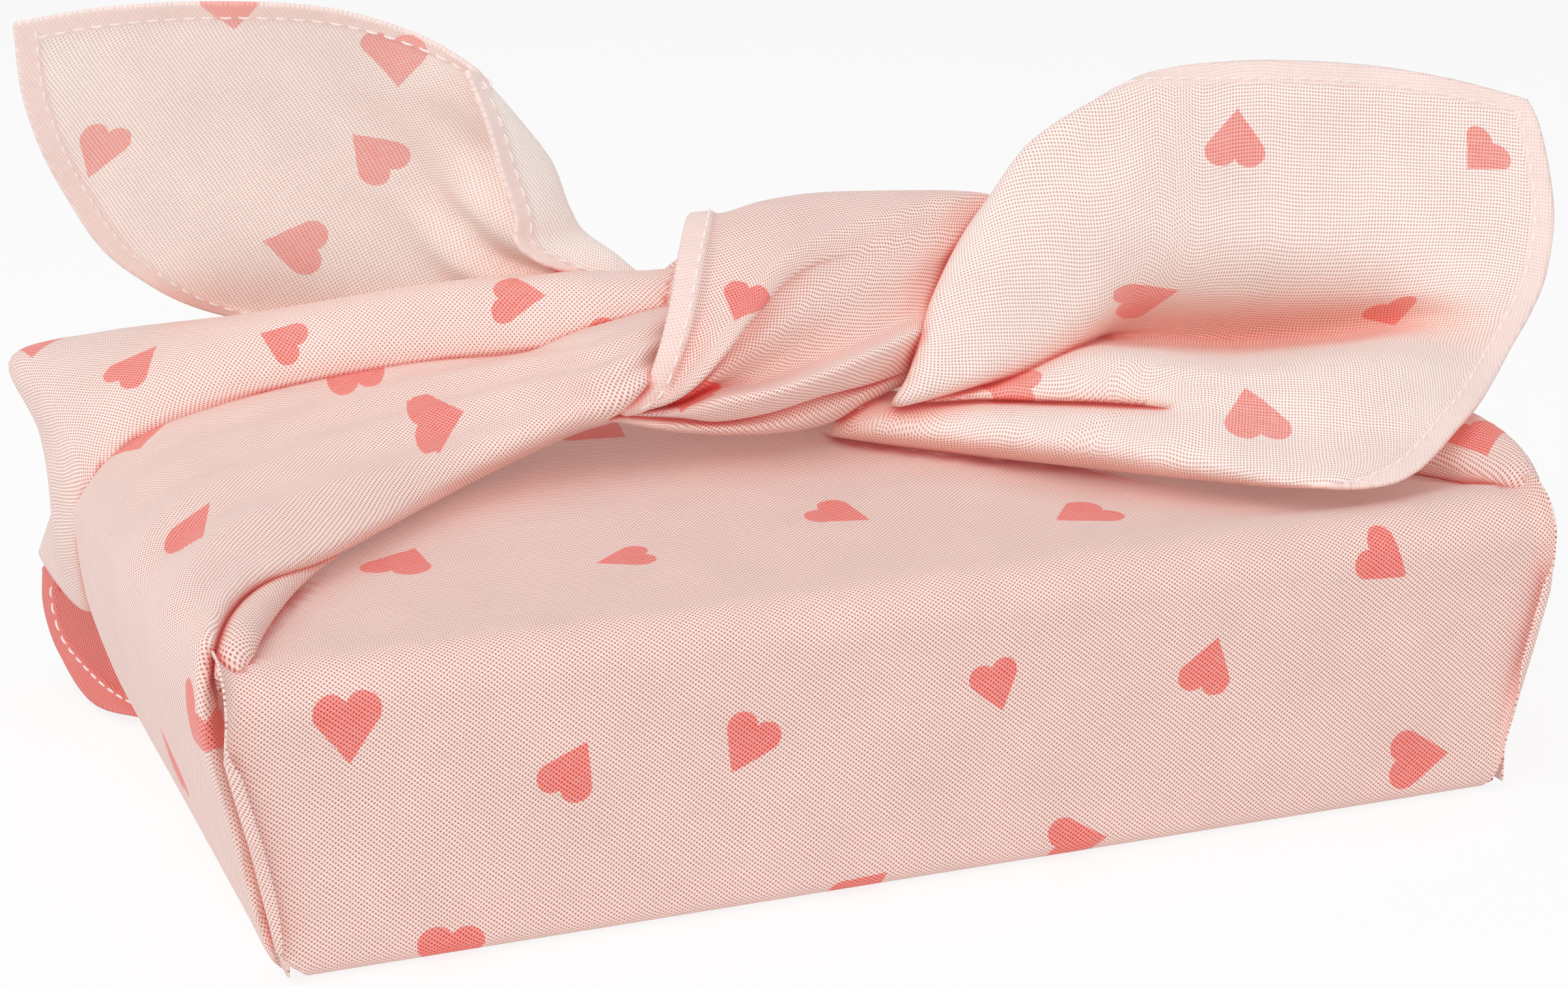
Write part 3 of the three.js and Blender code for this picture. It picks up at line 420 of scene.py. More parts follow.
def cloth_material(name, settings):
    """Loose plain weave, drawn in the metres of the UV layer 'cloth', with printed hearts."""
    material = new_material(name)
    tree = material.node_tree
    flat = add_node(tree, "ShaderNodeUVMap", {"uv_map": "cloth"})
    noise = {"noise_dimensions": "2D", "normalize": True}

    def flat_noise(scale_x, scale_y, detail=1.0):
        scaled = add_node(tree, "ShaderNodeVectorMath", {"operation": "MULTIPLY"},
                          {0: flat, 1: (scale_x, scale_y, 1)})
        return add_node(tree, "ShaderNodeTexNoise", noise, {"Vector": scaled, "Scale": 1.0, "Detail": detail})

    metres_x = add_node(tree, "ShaderNodeSeparateXYZ", None, {0: flat}, output=0)
    metres_y = add_node(tree, "ShaderNodeSeparateXYZ", None, {0: flat}, output=1)
    sway_x = (flat_noise(240, 160) - 0.5) * 0.5
    sway_y = (flat_noise(170, 260) - 0.5) * 0.5
    warp = metres_x / settings.warp_pitch + sway_x
    weft = metres_y / settings.weft_pitch + sway_y
    warp_row = warp.rounded()
    weft_row = weft.rounded()
    off_warp = abs(warp - warp_row)
    off_weft = abs(weft - weft_row)
    warp_over = (warp_row * math.pi).cosine() * (weft * math.pi).cosine()
    weft_over = (weft_row * math.pi).cosine() * (warp * math.pi).cosine()
    warp_height = 0.6 - off_warp * off_warp * 2.4 + warp_over * 0.4
    weft_height = 0.6 - off_weft * off_weft * 2.4 - weft_over * 0.4
    height = warp_height.most(weft_height)
    # Painted shade: the gaps between threads are darkened, as they would be in shade
    pore_shade_mask = off_warp.step(0.12, 0.36) * off_weft.step(0.12, 0.36)
    slub = flat_noise(1400, 170, 2.0) * 0.5 + flat_noise(170, 1850, 2.0) * 0.5
    mottle = flat_noise(70, 70, 3.0)
    # Painted shade of the weave's relief, thread tops lighter and their sides darker, with the yarn's own
    # slubs and mottling
    painted_thread_shade_and_slub_tone = 0.86 + height * 0.15 + (slub - 0.5) * 0.2 + (mottle - 0.5) * 0.1

    print_place = add_node(tree, "ShaderNodeUVMap", {"uv_map": "heart"})
    heart_x = abs(add_node(tree, "ShaderNodeSeparateXYZ", None, {0: print_place}, output=0))
    heart_y = add_node(tree, "ShaderNodeSeparateXYZ", None, {0: print_place}, output=1)
    ragged = (slub - 0.5) * 0.8
    along = heart_x * 0.2827 + heart_y * 0.9592
    aside = abs(heart_x * 0.9592 - heart_y * 0.2827)
    flank = aside * 0.9447 - along * 0.328
    lobe_x = heart_x - 2.8
    lobe_y = heart_y - 9.5
    lobe = (lobe_x * lobe_x + lobe_y * lobe_y) ** 0.5 - 3.25
    outline = flank.most(along - 8.84).least(lobe) + ragged
    heart = 1 - outline.step(-0.1, 0.14)

    hem = add_node(tree, "ShaderNodeAttribute", {"attribute_name": "hem"}, output=2)
    # Painted light: the attribute below lightens the threads towards a paler colour, most on the tails, as
    # light coming through one layer would; doubled hems take less of it, and it also fades the pores and the
    # ink
    painted_light_share = add_node(tree, "ShaderNodeAttribute", {"attribute_name": "painted_light_share"}, output=2)
    thread = blend_colours(tree, painted_light_share * (1 - hem * 0.6), tuple(settings.cloth_colour),
                           tuple(settings.painted_light_colour))
    thread = blend_colours(tree, hem * (0.7 - painted_light_share * 0.25), thread, (0.91, 0.72, 0.67))
    inked = heart * (0.92 - painted_light_share * 0.3 + (slub - 0.5) * 0.5)
    printed = blend_colours(tree, inked, thread, tuple(settings.heart_colour))
    # Painted shade colour for the gaps, deeper under the printed hearts
    painted_pore_shade = blend_colours(tree, heart * (1 - painted_light_share * 0.5), tuple(settings.pore_shade_colour), (0.45, 0.045, 0.055))
    woven = blend_colours(tree, pore_shade_mask * (0.6 + slub * 0.6) * (1 - hem * 0.8) * (1 - painted_light_share * 0.5), printed, painted_pore_shade)
    tone = add_node(tree, "ShaderNodeCombineColor", None, {0: painted_thread_shade_and_slub_tone, 1: painted_thread_shade_and_slub_tone, 2: painted_thread_shade_and_slub_tone})
    toned = blend_colours(tree, 1.0, woven, tone, "MULTIPLY")
    # Painted shade: the two fold-depth attributes darken the colour towards deep pink in hollows and tight
    # creases, for shade and for light bounced between layers; the wide one lifts red a little
    painted_fold_shade = add_node(tree, "ShaderNodeAttribute", {"attribute_name": "painted_fold_shade"}, output=2)
    crease_and_painted_shade = add_node(tree, "ShaderNodeAttribute", {"attribute_name": "crease_and_painted_shade"}, output=2)
    with_painted_fold_shade = blend_colours(tree, painted_fold_shade, toned, (1.02, 0.74, 0.68), "MULTIPLY")
    colour = blend_colours(tree, crease_and_painted_shade, with_painted_fold_shade, (0.8, 0.28, 0.27), "MULTIPLY")
    bump = add_node(tree, "ShaderNodeBump", None,
                    {"Strength": 0.1, "Distance": 0.12 * MM,
                     "Height": (height + (slub - 0.5) * 0.25) * (1 - hem * 0.6)})
    return finish_surface(material, {
        "Base Color": colour, "Roughness": 0.93 - height * 0.08, "Normal": bump,
        "Specular IOR Level": 0.18, "Sheen Weight": 0.12, "Sheen Roughness": 0.5})


def thread_material(name, settings):
    """Twisted sewing thread"""
    material = new_material(name)
    tree = material.node_tree
    place = add_node(tree, "ShaderNodeTexCoord", None, None, output=3)
    strands = add_node(tree, "ShaderNodeTexNoise", None, {"Vector": place, "Scale": 2600.0, "Detail": 2.0})
    colour = blend_colours(tree, strands, tuple(settings.thread_colour), (0.80, 0.66, 0.63))
    bump = add_node(tree, "ShaderNodeBump", None, {"Strength": 0.5, "Distance": 0.05 * MM, "Height": strands})
    return finish_surface(material, {"Base Color": colour, "Roughness": 0.7, "Normal": bump,
                                     "Sheen Weight": 0.1})


def board_material(name, settings):
    """Matt paper over board, a little mottled by its fibres"""
    material = new_material(name)
    tree = material.node_tree
    place = add_node(tree, "ShaderNodeTexCoord", None, None, output=3)
    fibres = add_node(tree, "ShaderNodeTexNoise", None,
                      {"Vector": place, "Scale": 1 / settings.fibre_size, "Detail": 6.0})
    clouds = add_node(tree, "ShaderNodeTexNoise", None, {"Vector": place, "Scale": 35.0, "Detail": 3.0})
    darker = tuple(value * 0.86 for value in settings.board_colour)
    colour = blend_colours(tree, fibres * 0.5 + clouds * 0.5, tuple(settings.board_colour), darker)
    bump = add_node(tree, "ShaderNodeBump", None, {"Strength": 0.25, "Distance": 0.1 * MM, "Height": fibres})
    return finish_surface(material, {"Base Color": colour, "Roughness": fibres * 0.2 + 0.62, "Normal": bump})


def looked_at(tree):
    """1 for a ray from the camera, direct or by a mirror or glass, and 0 for any other"""
    node = tree.nodes.new("ShaderNodeLightPath")
    rays = ("Is Camera Ray", "Is Glossy Ray", "Is Transmission Ray")
    return sum(Socket(tree, node.outputs[ray]) for ray in rays).least(1.0)


def floor_material(name, settings):
    """Pale floor that the camera sees as white where nothing shades it"""
    material = new_material(name)
    tree = material.node_tree
    seen = looked_at(tree)
    matt = add_node(tree, "ShaderNodeBsdfDiffuse", None, {"Color": (*settings.floor_colour, 1)})
    glow = add_node(tree, "ShaderNodeEmission", None, {"Color": (1, 1, 1, 1), "Strength": 1.0})
    both = add_node(tree, "ShaderNodeMixShader", None, {0: seen * 0.78, 1: matt, 2: glow})
    add_node(tree, "ShaderNodeOutputMaterial", None, {"Surface": both})
    return material


def material_of(name, make):
    """A material by name, made the first time that a piece asks for it"""
    return bpy.data.materials.get(name) or make(name)


def cloth_finish():
    return material_of("printed cotton", lambda name: cloth_material(name, bpy.context.scene.gift_cloth))


def thread_finish():
    return material_of("sewing thread", lambda name: thread_material(name, bpy.context.scene.gift_cloth))


def through(points, shares):
    """Points at the given shares of a smooth curve through the points, along the first axis."""
    points = np.asarray(points, float)
    ends = np.concatenate([[2 * points[0] - points[1]], points, [2 * points[-1] - points[-2]]])
    place = np.asarray(shares) * (len(points) - 1)
    span = np.clip(place.astype(int), 0, len(points) - 2)
    t = (place - span).reshape(-1, *[1] * (points.ndim - 1))
    a, b, c, d = (ends[span + step] for step in range(4))
    return (b + t * (c - a) / 2 + t ** 2 * (2 * a - 5 * b + 4 * c - d) / 2
            + t ** 3 * (3 * b - a - 3 * c + d) / 2)


def through_net(net, rows, columns):
    """The smooth surface through a net in millimetres, as a grid of points in metres"""
    down = through(np.array(net) * MM, rows)
    return through(down.swapaxes(0, 1), columns).swapaxes(0, 1)


def photo_net(rows):
    """Points in millimetres from places in the photograph: pixel x, pixel y and depth"""
    net = []
    for row in rows:
        line = []
        for x, y, depth in row:
            place, ray = photo_ray(x, y)
            line.append(tuple((place + ray * ((depth * MM - place.y) / ray.y)) / MM))
        net.append(line)
    return net


def run(grid, axis):
    """How far each point of a grid is along its own line from the line's first point"""
    steps = np.linalg.norm(np.diff(grid, axis=axis), axis=-1)
    first = np.zeros_like(np.take(steps, [0], axis))
    return np.concatenate([first, np.cumsum(steps, axis)], axis)


def hem_spacing(count, first_hem, last_hem):
    """Places along a line of the grid: close together across a hem, and even between"""
    marks = np.array([0, 0.8, 2.2, 3.6, 4.2, 4.8]) * MM

    def places(length):
        near = marks * min(1, length / (3 * marks[-1]))
        first = near if first_hem else np.array([0.0])
        last = length - near[::-1] if last_hem else np.array([length])
        return np.concatenate([first, np.linspace(first[-1], last[0], count + 1)[1:-1], last])

    return places


def respaced(grid, axis, places):
    """The same surface with its points moved along one axis to the given places"""
    lines = []
    for line in np.moveaxis(grid, axis, 1):
        along = run(line, 0)
        wanted = places(along[-1])
        lines.append(np.stack([np.interp(wanted, along, line[:, k]) for k in range(3)], 1))
    return np.moveaxis(np.array(lines), 1, axis)


def laid_flat(grid):
    """The piece laid out flat with as little stretch as can be: a place in metres for each point.
    Every sixth point or so is joined to its neighbours by threads that keep their length."""
    marks = [np.unique(np.linspace(0, count - 1, max(4, count // 6)).astype(int)) for count in grid.shape[:2]]
    across, down = run(grid, 1), run(grid, 0)
    row, column = (mark[len(mark) // 2] for mark in marks)
    start = np.stack([across - across[:, [column]], 0 * across + down[:, [column]] - down[row, column]], -1)
    picked = np.ix_(*marks)
    coarse, flat = grid[picked], start[picked]
    every, early, late = slice(None), slice(None, -1), slice(1, None)
    pairs = [((every, early), (every, late)), ((early, every), (late, every)),
             ((early, early), (late, late)), ((early, late), (late, early))]
    chords = [np.linalg.norm(coarse[b] - coarse[a], axis=-1) for a, b in pairs]
    lengths = [np.diff(across[picked], axis=1), np.diff(down[picked], axis=0)]
    excess_row = (lengths[0] / np.maximum(chords[0], 1e-7))[:-1]
    excess_column = (lengths[1] / np.maximum(chords[1], 1e-7))[:, :-1]
    lengths += [chords[2] * (excess_row + excess_column) / 2, chords[3] * (excess_row + excess_column) / 2]
    for _ in range(900):
        move, count = np.zeros_like(flat), np.full(flat.shape[:2], 0.5)
        for (a, b), length in zip(pairs, lengths):
            apart = flat[b] - flat[a]
            now = np.maximum(np.linalg.norm(apart, axis=-1), 1e-7)
            pull = apart * ((now - length) / now / 2)[..., None]
            move[a] += pull
            move[b] -= pull
            count[a] += 1
            count[b] += 1
        flat += move / count[..., None]
        inner = flat[1:-1, 1:-1]
        inner += 0.04 * ((flat[:-2, 1:-1] + flat[2:, 1:-1] + flat[1:-1, :-2] + flat[1:-1, 2:]) / 4 - inner)
    rows, columns = (np.interp(np.arange(count), mark, even(len(mark)))
                     for count, mark in zip(grid.shape[:2], marks))
    moved = flat - start[picked]
    return start + through(through(moved, rows).swapaxes(0, 1), columns).swapaxes(0, 1)


def normals_of(grid):
    across = np.cross(np.gradient(grid, axis=0), np.gradient(grid, axis=1))
    return across / np.linalg.norm(across, axis=-1, keepdims=True)


def from_hems(grid, hems):
    """Distance of each point from the nearest hem: 'left', 'right' columns, 'top' and 'foot' rows"""
    across = run(grid, 1)
    down = run(grid, 0)
    distances = {"left": across, "right": across[:, -1:] - across, "foot": down, "top": down[-1:] - down}
    return np.min([distances[hem] for hem in hems], axis=0) if hems else np.full(across.shape, 1.0)


def ripple(x, y, wavelength, seed):
    """Soft unevenness between about -1 and 1, the same for a seed each time"""
    chance = np.random.default_rng(seed)
    total = np.zeros_like(x)
    for _ in range(7):
        angle, phase = chance.uniform(0, 2 * math.pi, 2)
        pace = 2 * math.pi / (wavelength * chance.uniform(0.7, 1.6))
        total += np.sin(pace * (x * math.cos(angle) + y * math.sin(angle)) + phase)
    return total / 3.5


def smooth(value, low, high):
    share = np.clip((value - low) / (high - low), 0, 1)
    return share * share * (3 - 2 * share)


def grid_faces(rows, columns):
    """The four-cornered faces of a grid of points, row by row"""
    index = np.arange(rows * columns).reshape(rows, columns)
    corners = (index[:-1, :-1], index[1:, :-1], index[1:, 1:], index[:-1, 1:])
    return np.stack([corner.ravel() for corner in corners], 1)


def new_piece(name, places, faces, material):
    """A smooth mesh in the scene, with its material"""
    mesh = bpy.data.meshes.new(name)
    mesh.from_pydata(places, [], faces)
    mesh.shade_smooth()
    mesh.materials.append(material)
    piece = bpy.data.objects.new(name, mesh)
    bpy.context.scene.collection.objects.link(piece)
    return piece


def write_uv(piece, name, values):
    piece.data.uv_layers.new(name=name).data.foreach_set("uv", np.asarray(values, np.float32).ravel())


def write_points(piece, name, values):
    attribute = piece.data.attributes.new(name, "FLOAT", "POINT")
    attribute.data.foreach_set("value", np.asarray(values, np.float32))


class Cloth:
    """One piece of cloth as a grid of points, from which its mesh, hearts and stitches are made"""

    def __init__(self, name, grid, hems=(), turn=45.0, painted_light_share=0.0, facing=1.0):
        settings = bpy.context.scene.gift_cloth
        self.name = name
        self.grid = grid
        self.normals = normals_of(grid)
        self.hem_distance = from_hems(grid, hems)
        across, down = np.moveaxis(laid_flat(grid), -1, 0)
        angle = math.radians(turn)
        self.flat = np.stack([across * math.cos(angle) - down * math.sin(angle),
                              across * math.sin(angle) + down * math.cos(angle)], -1)
        hem_share = 1 - smooth(self.hem_distance, settings.hem_width * 0.95, settings.hem_width * 1.08)
        self.hem = hem_share
        # Share of painted light that lightens this piece's colour
        self.painted_light_share = painted_light_share
        self.facing = facing
        self.thickness = settings.thickness + (settings.hem_thickness - settings.thickness) * hem_share

    def make(self):
        """A closed thin solid about the grid, with a rounded rim"""
        rows, columns = self.grid.shape[:2]
        half = self.thickness[..., None] / 2
        index = np.arange(rows * columns).reshape(rows, columns)
        front = grid_faces(rows, columns)
        behind = front[:, ::-1] + rows * columns
        rim = np.concatenate([index[:-1, 0], index[-1, :-1], index[:0:-1, -1], index[0, :0:-1]])
        rim_next = np.roll(rim, -1)
        middle = 2 * rows * columns + np.arange(len(rim))
        middle_next = np.roll(middle, -1)
        rim_front = np.stack([rim_next, rim, middle, middle_next], 1)
        rim_back = np.stack([middle_next, middle, rim + rows * columns, rim_next + rows * columns], 1)

        points = self.grid.reshape(-1, 3)
        normals = self.normals.reshape(-1, 3)
        tangent = points[rim_next] - points[np.roll(rim, 1)]
        outward = np.cross(tangent, normals[rim])
        outward /= np.linalg.norm(outward, axis=1, keepdims=True)
        bulge = points[rim] + outward * half.reshape(-1, 1)[rim] * 0.9
        layers = [self.grid + self.normals * half, self.grid - self.normals * half]
        places = np.concatenate([*(layer.reshape(-1, 3) for layer in layers), bulge])
        source = np.concatenate([index.ravel(), index.ravel(), rim])
        faces = np.concatenate([front, behind, rim_front, rim_back])

        piece = new_piece(self.name, places.tolist(), faces.tolist(), cloth_finish())
        write_uv(piece, "cloth", self.flat.reshape(-1, 2)[source][faces.ravel()])
        write_points(piece, "hem", self.hem.ravel()[source])
        write_points(piece, "painted_light_share", np.full(len(places), self.painted_light_share))
        self.piece = piece
        self.places = places
        self.faces = faces
        self.source = source
        return piece

    def tree(self):
        faces = grid_faces(*self.grid.shape[:2])
        return BVHTree.FromPolygons(self.grid.reshape(-1, 3).tolist(), faces.tolist())

    def seen_hearts(self, picks):
        """Place, normal, upward direction, width and height of each heart from its pixels in
        the photograph. One with a width share is drawn as the camera sees it."""
        tree = self.tree()
        hearts = []
        for tip, notch, *share in picks:
            origin, tip_ray = photo_ray(*tip)
            _, notch_ray = photo_ray(*notch)
            middle_ray = (tip_ray + notch_ray).normalized()
            hits = (tree.ray_cast(origin, ray) for ray in (middle_ray, tip_ray, notch_ray))
            place, normal, *_ = next(hit for hit in hits if hit[0] is not None)
            if share:
                normal = -middle_ray
            elif normal.dot(middle_ray) > 0:
                normal = -normal
            on_plane = [origin + ray * ((place - origin).dot(normal) / ray.dot(normal))
                        for ray in (tip_ray, notch_ray)]
            up = on_plane[1] - on_plane[0]
            height = up.length / (HEART_HEIGHT * MM)
            size = (height * share[0], height) if share else [min(max(height, 0.75), 1.1)] * 2
            hearts.append((np.array((on_plane[0] + on_plane[1]) / 2), np.array(normal),
                           np.array(up.normalized()), size))
        return hearts

    def spare_hearts(self, seed, taken, spacing=0.039):
        """Hearts at even chance over the parts of the piece that face away from the photograph"""
        chance = np.random.default_rng(seed)
        origin = np.array(camera_frame()[3])
        points = self.grid[2:-2, 2:-2].reshape(-1, 3)
        normals = self.normals[2:-2, 2:-2].reshape(-1, 3)
        view = origin - points
        away = (view * normals).sum(1) * self.facing < -0.02 * np.linalg.norm(view, axis=1)
        found = []
        others = [heart[0] for heart in taken]
        for pick in chance.permutation(np.flatnonzero(away)):
            place = points[pick]
            if all(np.linalg.norm(place - other) > spacing for other in others):
                others.append(place)
                side = np.cross(normals[pick], chance.normal(size=3))
                found.append((place, normals[pick], side / np.linalg.norm(side), (1, 1)))
        return found

    def print_hearts(self, hearts):
        """Writes into the UV layer 'heart' each face's place in its heart, in millimetres"""
        corners = self.places[self.faces]
        centres = corners.mean(1)
        flat = self.flat.reshape(-1, 2)
        flat_centres = flat[self.source][self.faces].mean(1)
        normals = np.cross(corners[:, 2] - corners[:, 0], corners[:, 3] - corners[:, 1])
        normals /= np.maximum(np.linalg.norm(normals, axis=1, keepdims=True), 1e-12)
        local = np.full((*self.faces.shape, 2), NO_HEART)
        for place, normal, up, size in hearts:
            up = up - normal * up.dot(normal)
            up /= np.linalg.norm(up)
            side = np.cross(up, normal)
            apart = centres - place
            own = flat[np.argmin(np.linalg.norm(self.grid.reshape(-1, 3) - place, axis=1))]
            near = ((np.linalg.norm(apart, axis=1) < 15 * MM) & (abs(apart @ normal) < 10 * MM)
                    & (abs(normals @ normal) > 0.06) & (np.linalg.norm(flat_centres - own, axis=1) < 13 * MM))
            offset = corners[near] - place
            local[near] = np.stack([offset @ side, offset @ up], -1) / MM / size + (0, HEART_HEIGHT / 2)
        write_uv(self.piece, "heart", local)

    def stitch(self, lines):
        """Small arched stitches on both faces along lines of points, normals and thickness"""
        settings = bpy.context.scene.gift_cloth
        radius = settings.thread_radius
        places, faces = [], []
        sides, rings = 6, 7
        for line, normals, thickness in lines:
            along = run(line, 0)
            for start in np.arange(settings.stitch_pitch, along[-1] - settings.stitch_pitch,
                                   settings.stitch_pitch):
                for side in (1, -1):
                    share = np.linspace(0, 1, rings)
                    at = start + share * settings.stitch_length
                    centre = np.stack([np.interp(at, along, line[:, k]) for k in range(3)], 1)
                    normal = side * np.stack([np.interp(at, along, normals[:, k]) for k in range(3)], 1)
                    normal /= np.linalg.norm(normal, axis=1, keepdims=True)
                    arch = np.sin(math.pi * share) ** 0.5
                    lift = np.interp(at, along, thickness) / 2 + radius * (1.15 * arch - 0.4)
                    ahead = np.gradient(centre, axis=0)
                    aside = np.cross(ahead, normal)
                    aside /= np.linalg.norm(aside, axis=1, keepdims=True)
                    centre = centre + normal * lift[:, None]
                    width = radius * (0.55 + 0.45 * arch)
                    base = len(places)
                    for ring in range(rings):
                        for k in range(sides):
                            turn = 2 * math.pi * k / sides
                            places.append(centre[ring] + width[ring] * (
                                aside[ring] * math.cos(turn) + normal[ring] * math.sin(turn)))
                    for ring in range(rings - 1):
                        for k in range(sides):
                            a, b = base + ring * sides + k, base + ring * sides + (k + 1) % sides
                            faces.append((a, b, b + sides, a + sides))
                    faces.append(tuple(base + k for k in reversed(range(sides))))
                    faces.append(tuple(base + (rings - 1) * sides + k for k in range(sides)))
        piece = new_piece(f"{self.name}_stitches", [tuple(place) for place in places], faces, thread_finish())
        return piece

    def hem_line(self, hem):
        """The stitch line of a hem: the fourth line of points from its edge"""
        every = slice(None)
        key = {"left": (every, 3), "right": (every, -4), "foot": (3, every), "top": (-4, every)}[hem]
        return self.grid[key], self.normals[key], self.thickness[key]


def camera_frame():
    """The photograph's camera: its right, up and backward directions, and its place"""
    studio = bpy.context.scene.gift_studio
    a, e, r = studio.azimuth, studio.elevation, studio.roll
    back = Vector((math.sin(a) * math.cos(e), -math.cos(a) * math.cos(e), math.sin(e)))
    level = Vector((math.cos(a), math.sin(a), 0))
    top = back.cross(level)
    right = level * math.cos(r) + top * math.sin(r)
    up = top * math.cos(r) - level * math.sin(r)
    return right, up, back, Vector(studio.camera_place)


def photo_ray(x, y):
    """From the camera through a pixel of the photograph"""
    right, up, back, place = camera_frame()
    scale = SENSOR_WIDTH / PHOTO_WIDTH / bpy.context.scene.gift_studio.lens
    ray = right * ((x - PHOTO_WIDTH / 2) * scale) - up * ((y - PHOTO_HEIGHT / 2) * scale) - back
    return place, ray.normalized()


def even(count):
    return np.linspace(0, 1, count)


def fine_net(net, rows, columns, first_row=0.0, last_row=1.0, hems=()):
    """A net's surface with its points evenly spaced, and closer together across its hems"""
    dense = through_net(net, np.linspace(first_row, last_row, 12 * len(net)), even(14 * len(net[0])))
    across = respaced(dense, 1, hem_spacing(columns, "left" in hems, "right" in hems))
    return respaced(across, 0, hem_spacing(rows, "foot" in hems, "top" in hems))


def pleats(grid, ridges, low, high):
    """A gather's grid with soft ridges and valleys along its rows: place across and height in mm"""
    rows, columns = grid.shape[:2]
    across, down = even(columns)[None, :], even(rows)[:, None]
    width = run(grid, 1)[:, -1:] / 0.1
    height = sum(size * np.exp(-((across - place) / 0.045) ** 2) for place, size in ridges)
    share = smooth(down, low, low + 0.25) * (1 - smooth(down, high, high + 0.08))
    share = share * np.minimum(width, 1) ** 0.7
    return grid - normals_of(grid) * (height * share * MM)[..., None]


def top_height(x, y, slack):
    """Height of the cloth over the lid, which tents up under the knot"""
    rise = smooth(y, -HALF_DEPTH, -HALF_DEPTH * 0.15)
    fall = 1 - smooth(y, HALF_DEPTH * 0.15, HALF_DEPTH * 0.5)
    return LID_TOP + 0.8 + slack + 6.0 * rise * fall * np.exp(-((x / 62) ** 2))


def wrap_path(side, top_run, corner, proud):
    """Half of the wrap's outline in millimetres, from its far edge on the lid round one long
    side to the middle of the underside: y, z and how far it is on the lid"""
    face_y = HALF_DEPTH + SIDE_GAP + proud
    top_z = LID_TOP + LID_GAP + proud
    foot_y, foot_z, foot_radius = HALF_DEPTH + 0.8, 3.2, 3
    points = []
    for share in np.linspace(1, 0, 44):
        reach = share * top_run
        points.append((face_y - corner - reach, top_z - proud * smooth(reach, 0, 40), reach))
    for angle in np.linspace(90, 0, 12)[1:]:
        turn = math.radians(angle)
        points.append((face_y - corner + corner * math.cos(turn),
                       top_z - corner + corner * math.sin(turn), 0))
    for share in np.linspace(0, 1, 26)[1:]:
        z = (top_z - corner) * (1 - share) + foot_z * share
        points.append((face_y + (foot_y - face_y) * share, z, 0))
    for angle in np.linspace(0, 90, 8)[1:]:
        turn = math.radians(angle)
        points.append((foot_y - foot_radius + foot_radius * math.cos(turn),
                       foot_z - foot_radius * math.sin(turn), 0))
    for share in np.linspace(0, 1, 20)[1:]:
        points.append(((foot_y - foot_radius) * (1 - share), 0.25, 0))
    path = np.array(points)
    path[:, 0] *= side
    return path


class GIFT_OT_studio(bpy.types.Operator):
    """Sets up the photograph's camera, the soft studio light and the whitish floor"""
    bl_idname = "gift.studio"
    bl_label = "Studio"

    def execute(self, context):
        scene = context.scene
        studio = scene.gift_studio
        right, up, back, place = camera_frame()
        camera_data = bpy.data.cameras.new("photo camera")
        camera_data.lens = studio.lens
        camera_data.sensor_width = SENSOR_WIDTH
        camera_data.sensor_fit = "HORIZONTAL"
        camera_data.clip_start = 0.01
        camera = bpy.data.objects.new("photo camera", camera_data)
        scene.collection.objects.link(camera)
        turn = Matrix((right, up, back)).transposed()
        camera.matrix_world = Matrix.Translation(place) @ turn.to_4x4()
        scene.camera = camera

        world = bpy.data.worlds.new("studio")
        world.use_nodes = True
        tree = world.node_tree
        tree.nodes.clear()
        strength = studio.sky_strength + looked_at(tree) * (1 - studio.sky_strength)
        sky = add_node(tree, "ShaderNodeBackground", None, {"Color": (1, 1, 1, 1), "Strength": strength})
        add_node(tree, "ShaderNodeOutputWorld", None, {"Surface": sky})
        scene.world = world
        scene.view_settings.view_transform = "Standard"

        for name, where, size, power, shadow in (
            ("key light", (-0.9, -0.4, 1.5), 1.6, studio.key_strength * 0.5, True),
            ("top light", (-1.0, -0.5, 1.4), 1.2, studio.key_strength * 1.25, False),
            ("front light", (-0.5, -1.6, 0.3), 1.2, studio.key_strength * 0.45, False),
            ("right light", (1.2, -1.0, 0.5), 1.2, studio.key_strength * 0.45, False),
        ):
            data = bpy.data.lights.new(name, "AREA")
            data.size = size
            data.energy = power
            data.use_shadow = shadow
            light = bpy.data.objects.new(name, data)
            light.location = where
            light.rotation_euler = (Vector((0, 0, 0.05)) - Vector(where)).to_track_quat("-Z", "Y").to_euler()
            scene.collection.objects.link(light)

        mesh = bpy.data.meshes.new("floor")
        places = [(x, y, -0.4 * MM) for x, y in ((-4, -4), (4, -4), (4, 4), (-4, 4))]
        mesh.from_pydata(places, [], [(0, 1, 2, 3)])
        floor = bpy.data.objects.new("floor", mesh)
        scene.collection.objects.link(floor)
        mesh.materials.append(material_of("floor", lambda name: floor_material(name, studio)))
        return {"FINISHED"}


class GIFT_OT_box(bpy.types.Operator):
    """Gives the gift box's tray and lid their paperboard"""
    bl_idname = "gift.box"
    bl_label = "Gift box"

    def execute(self, context):
        board = material_of("paperboard", lambda name: board_material(name, context.scene.gift_box))
        for node in ("box_tray", "box_lid"):
            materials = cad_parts[node].data.materials
            materials.clear()
            materials.append(board)
        return {"FINISHED"}


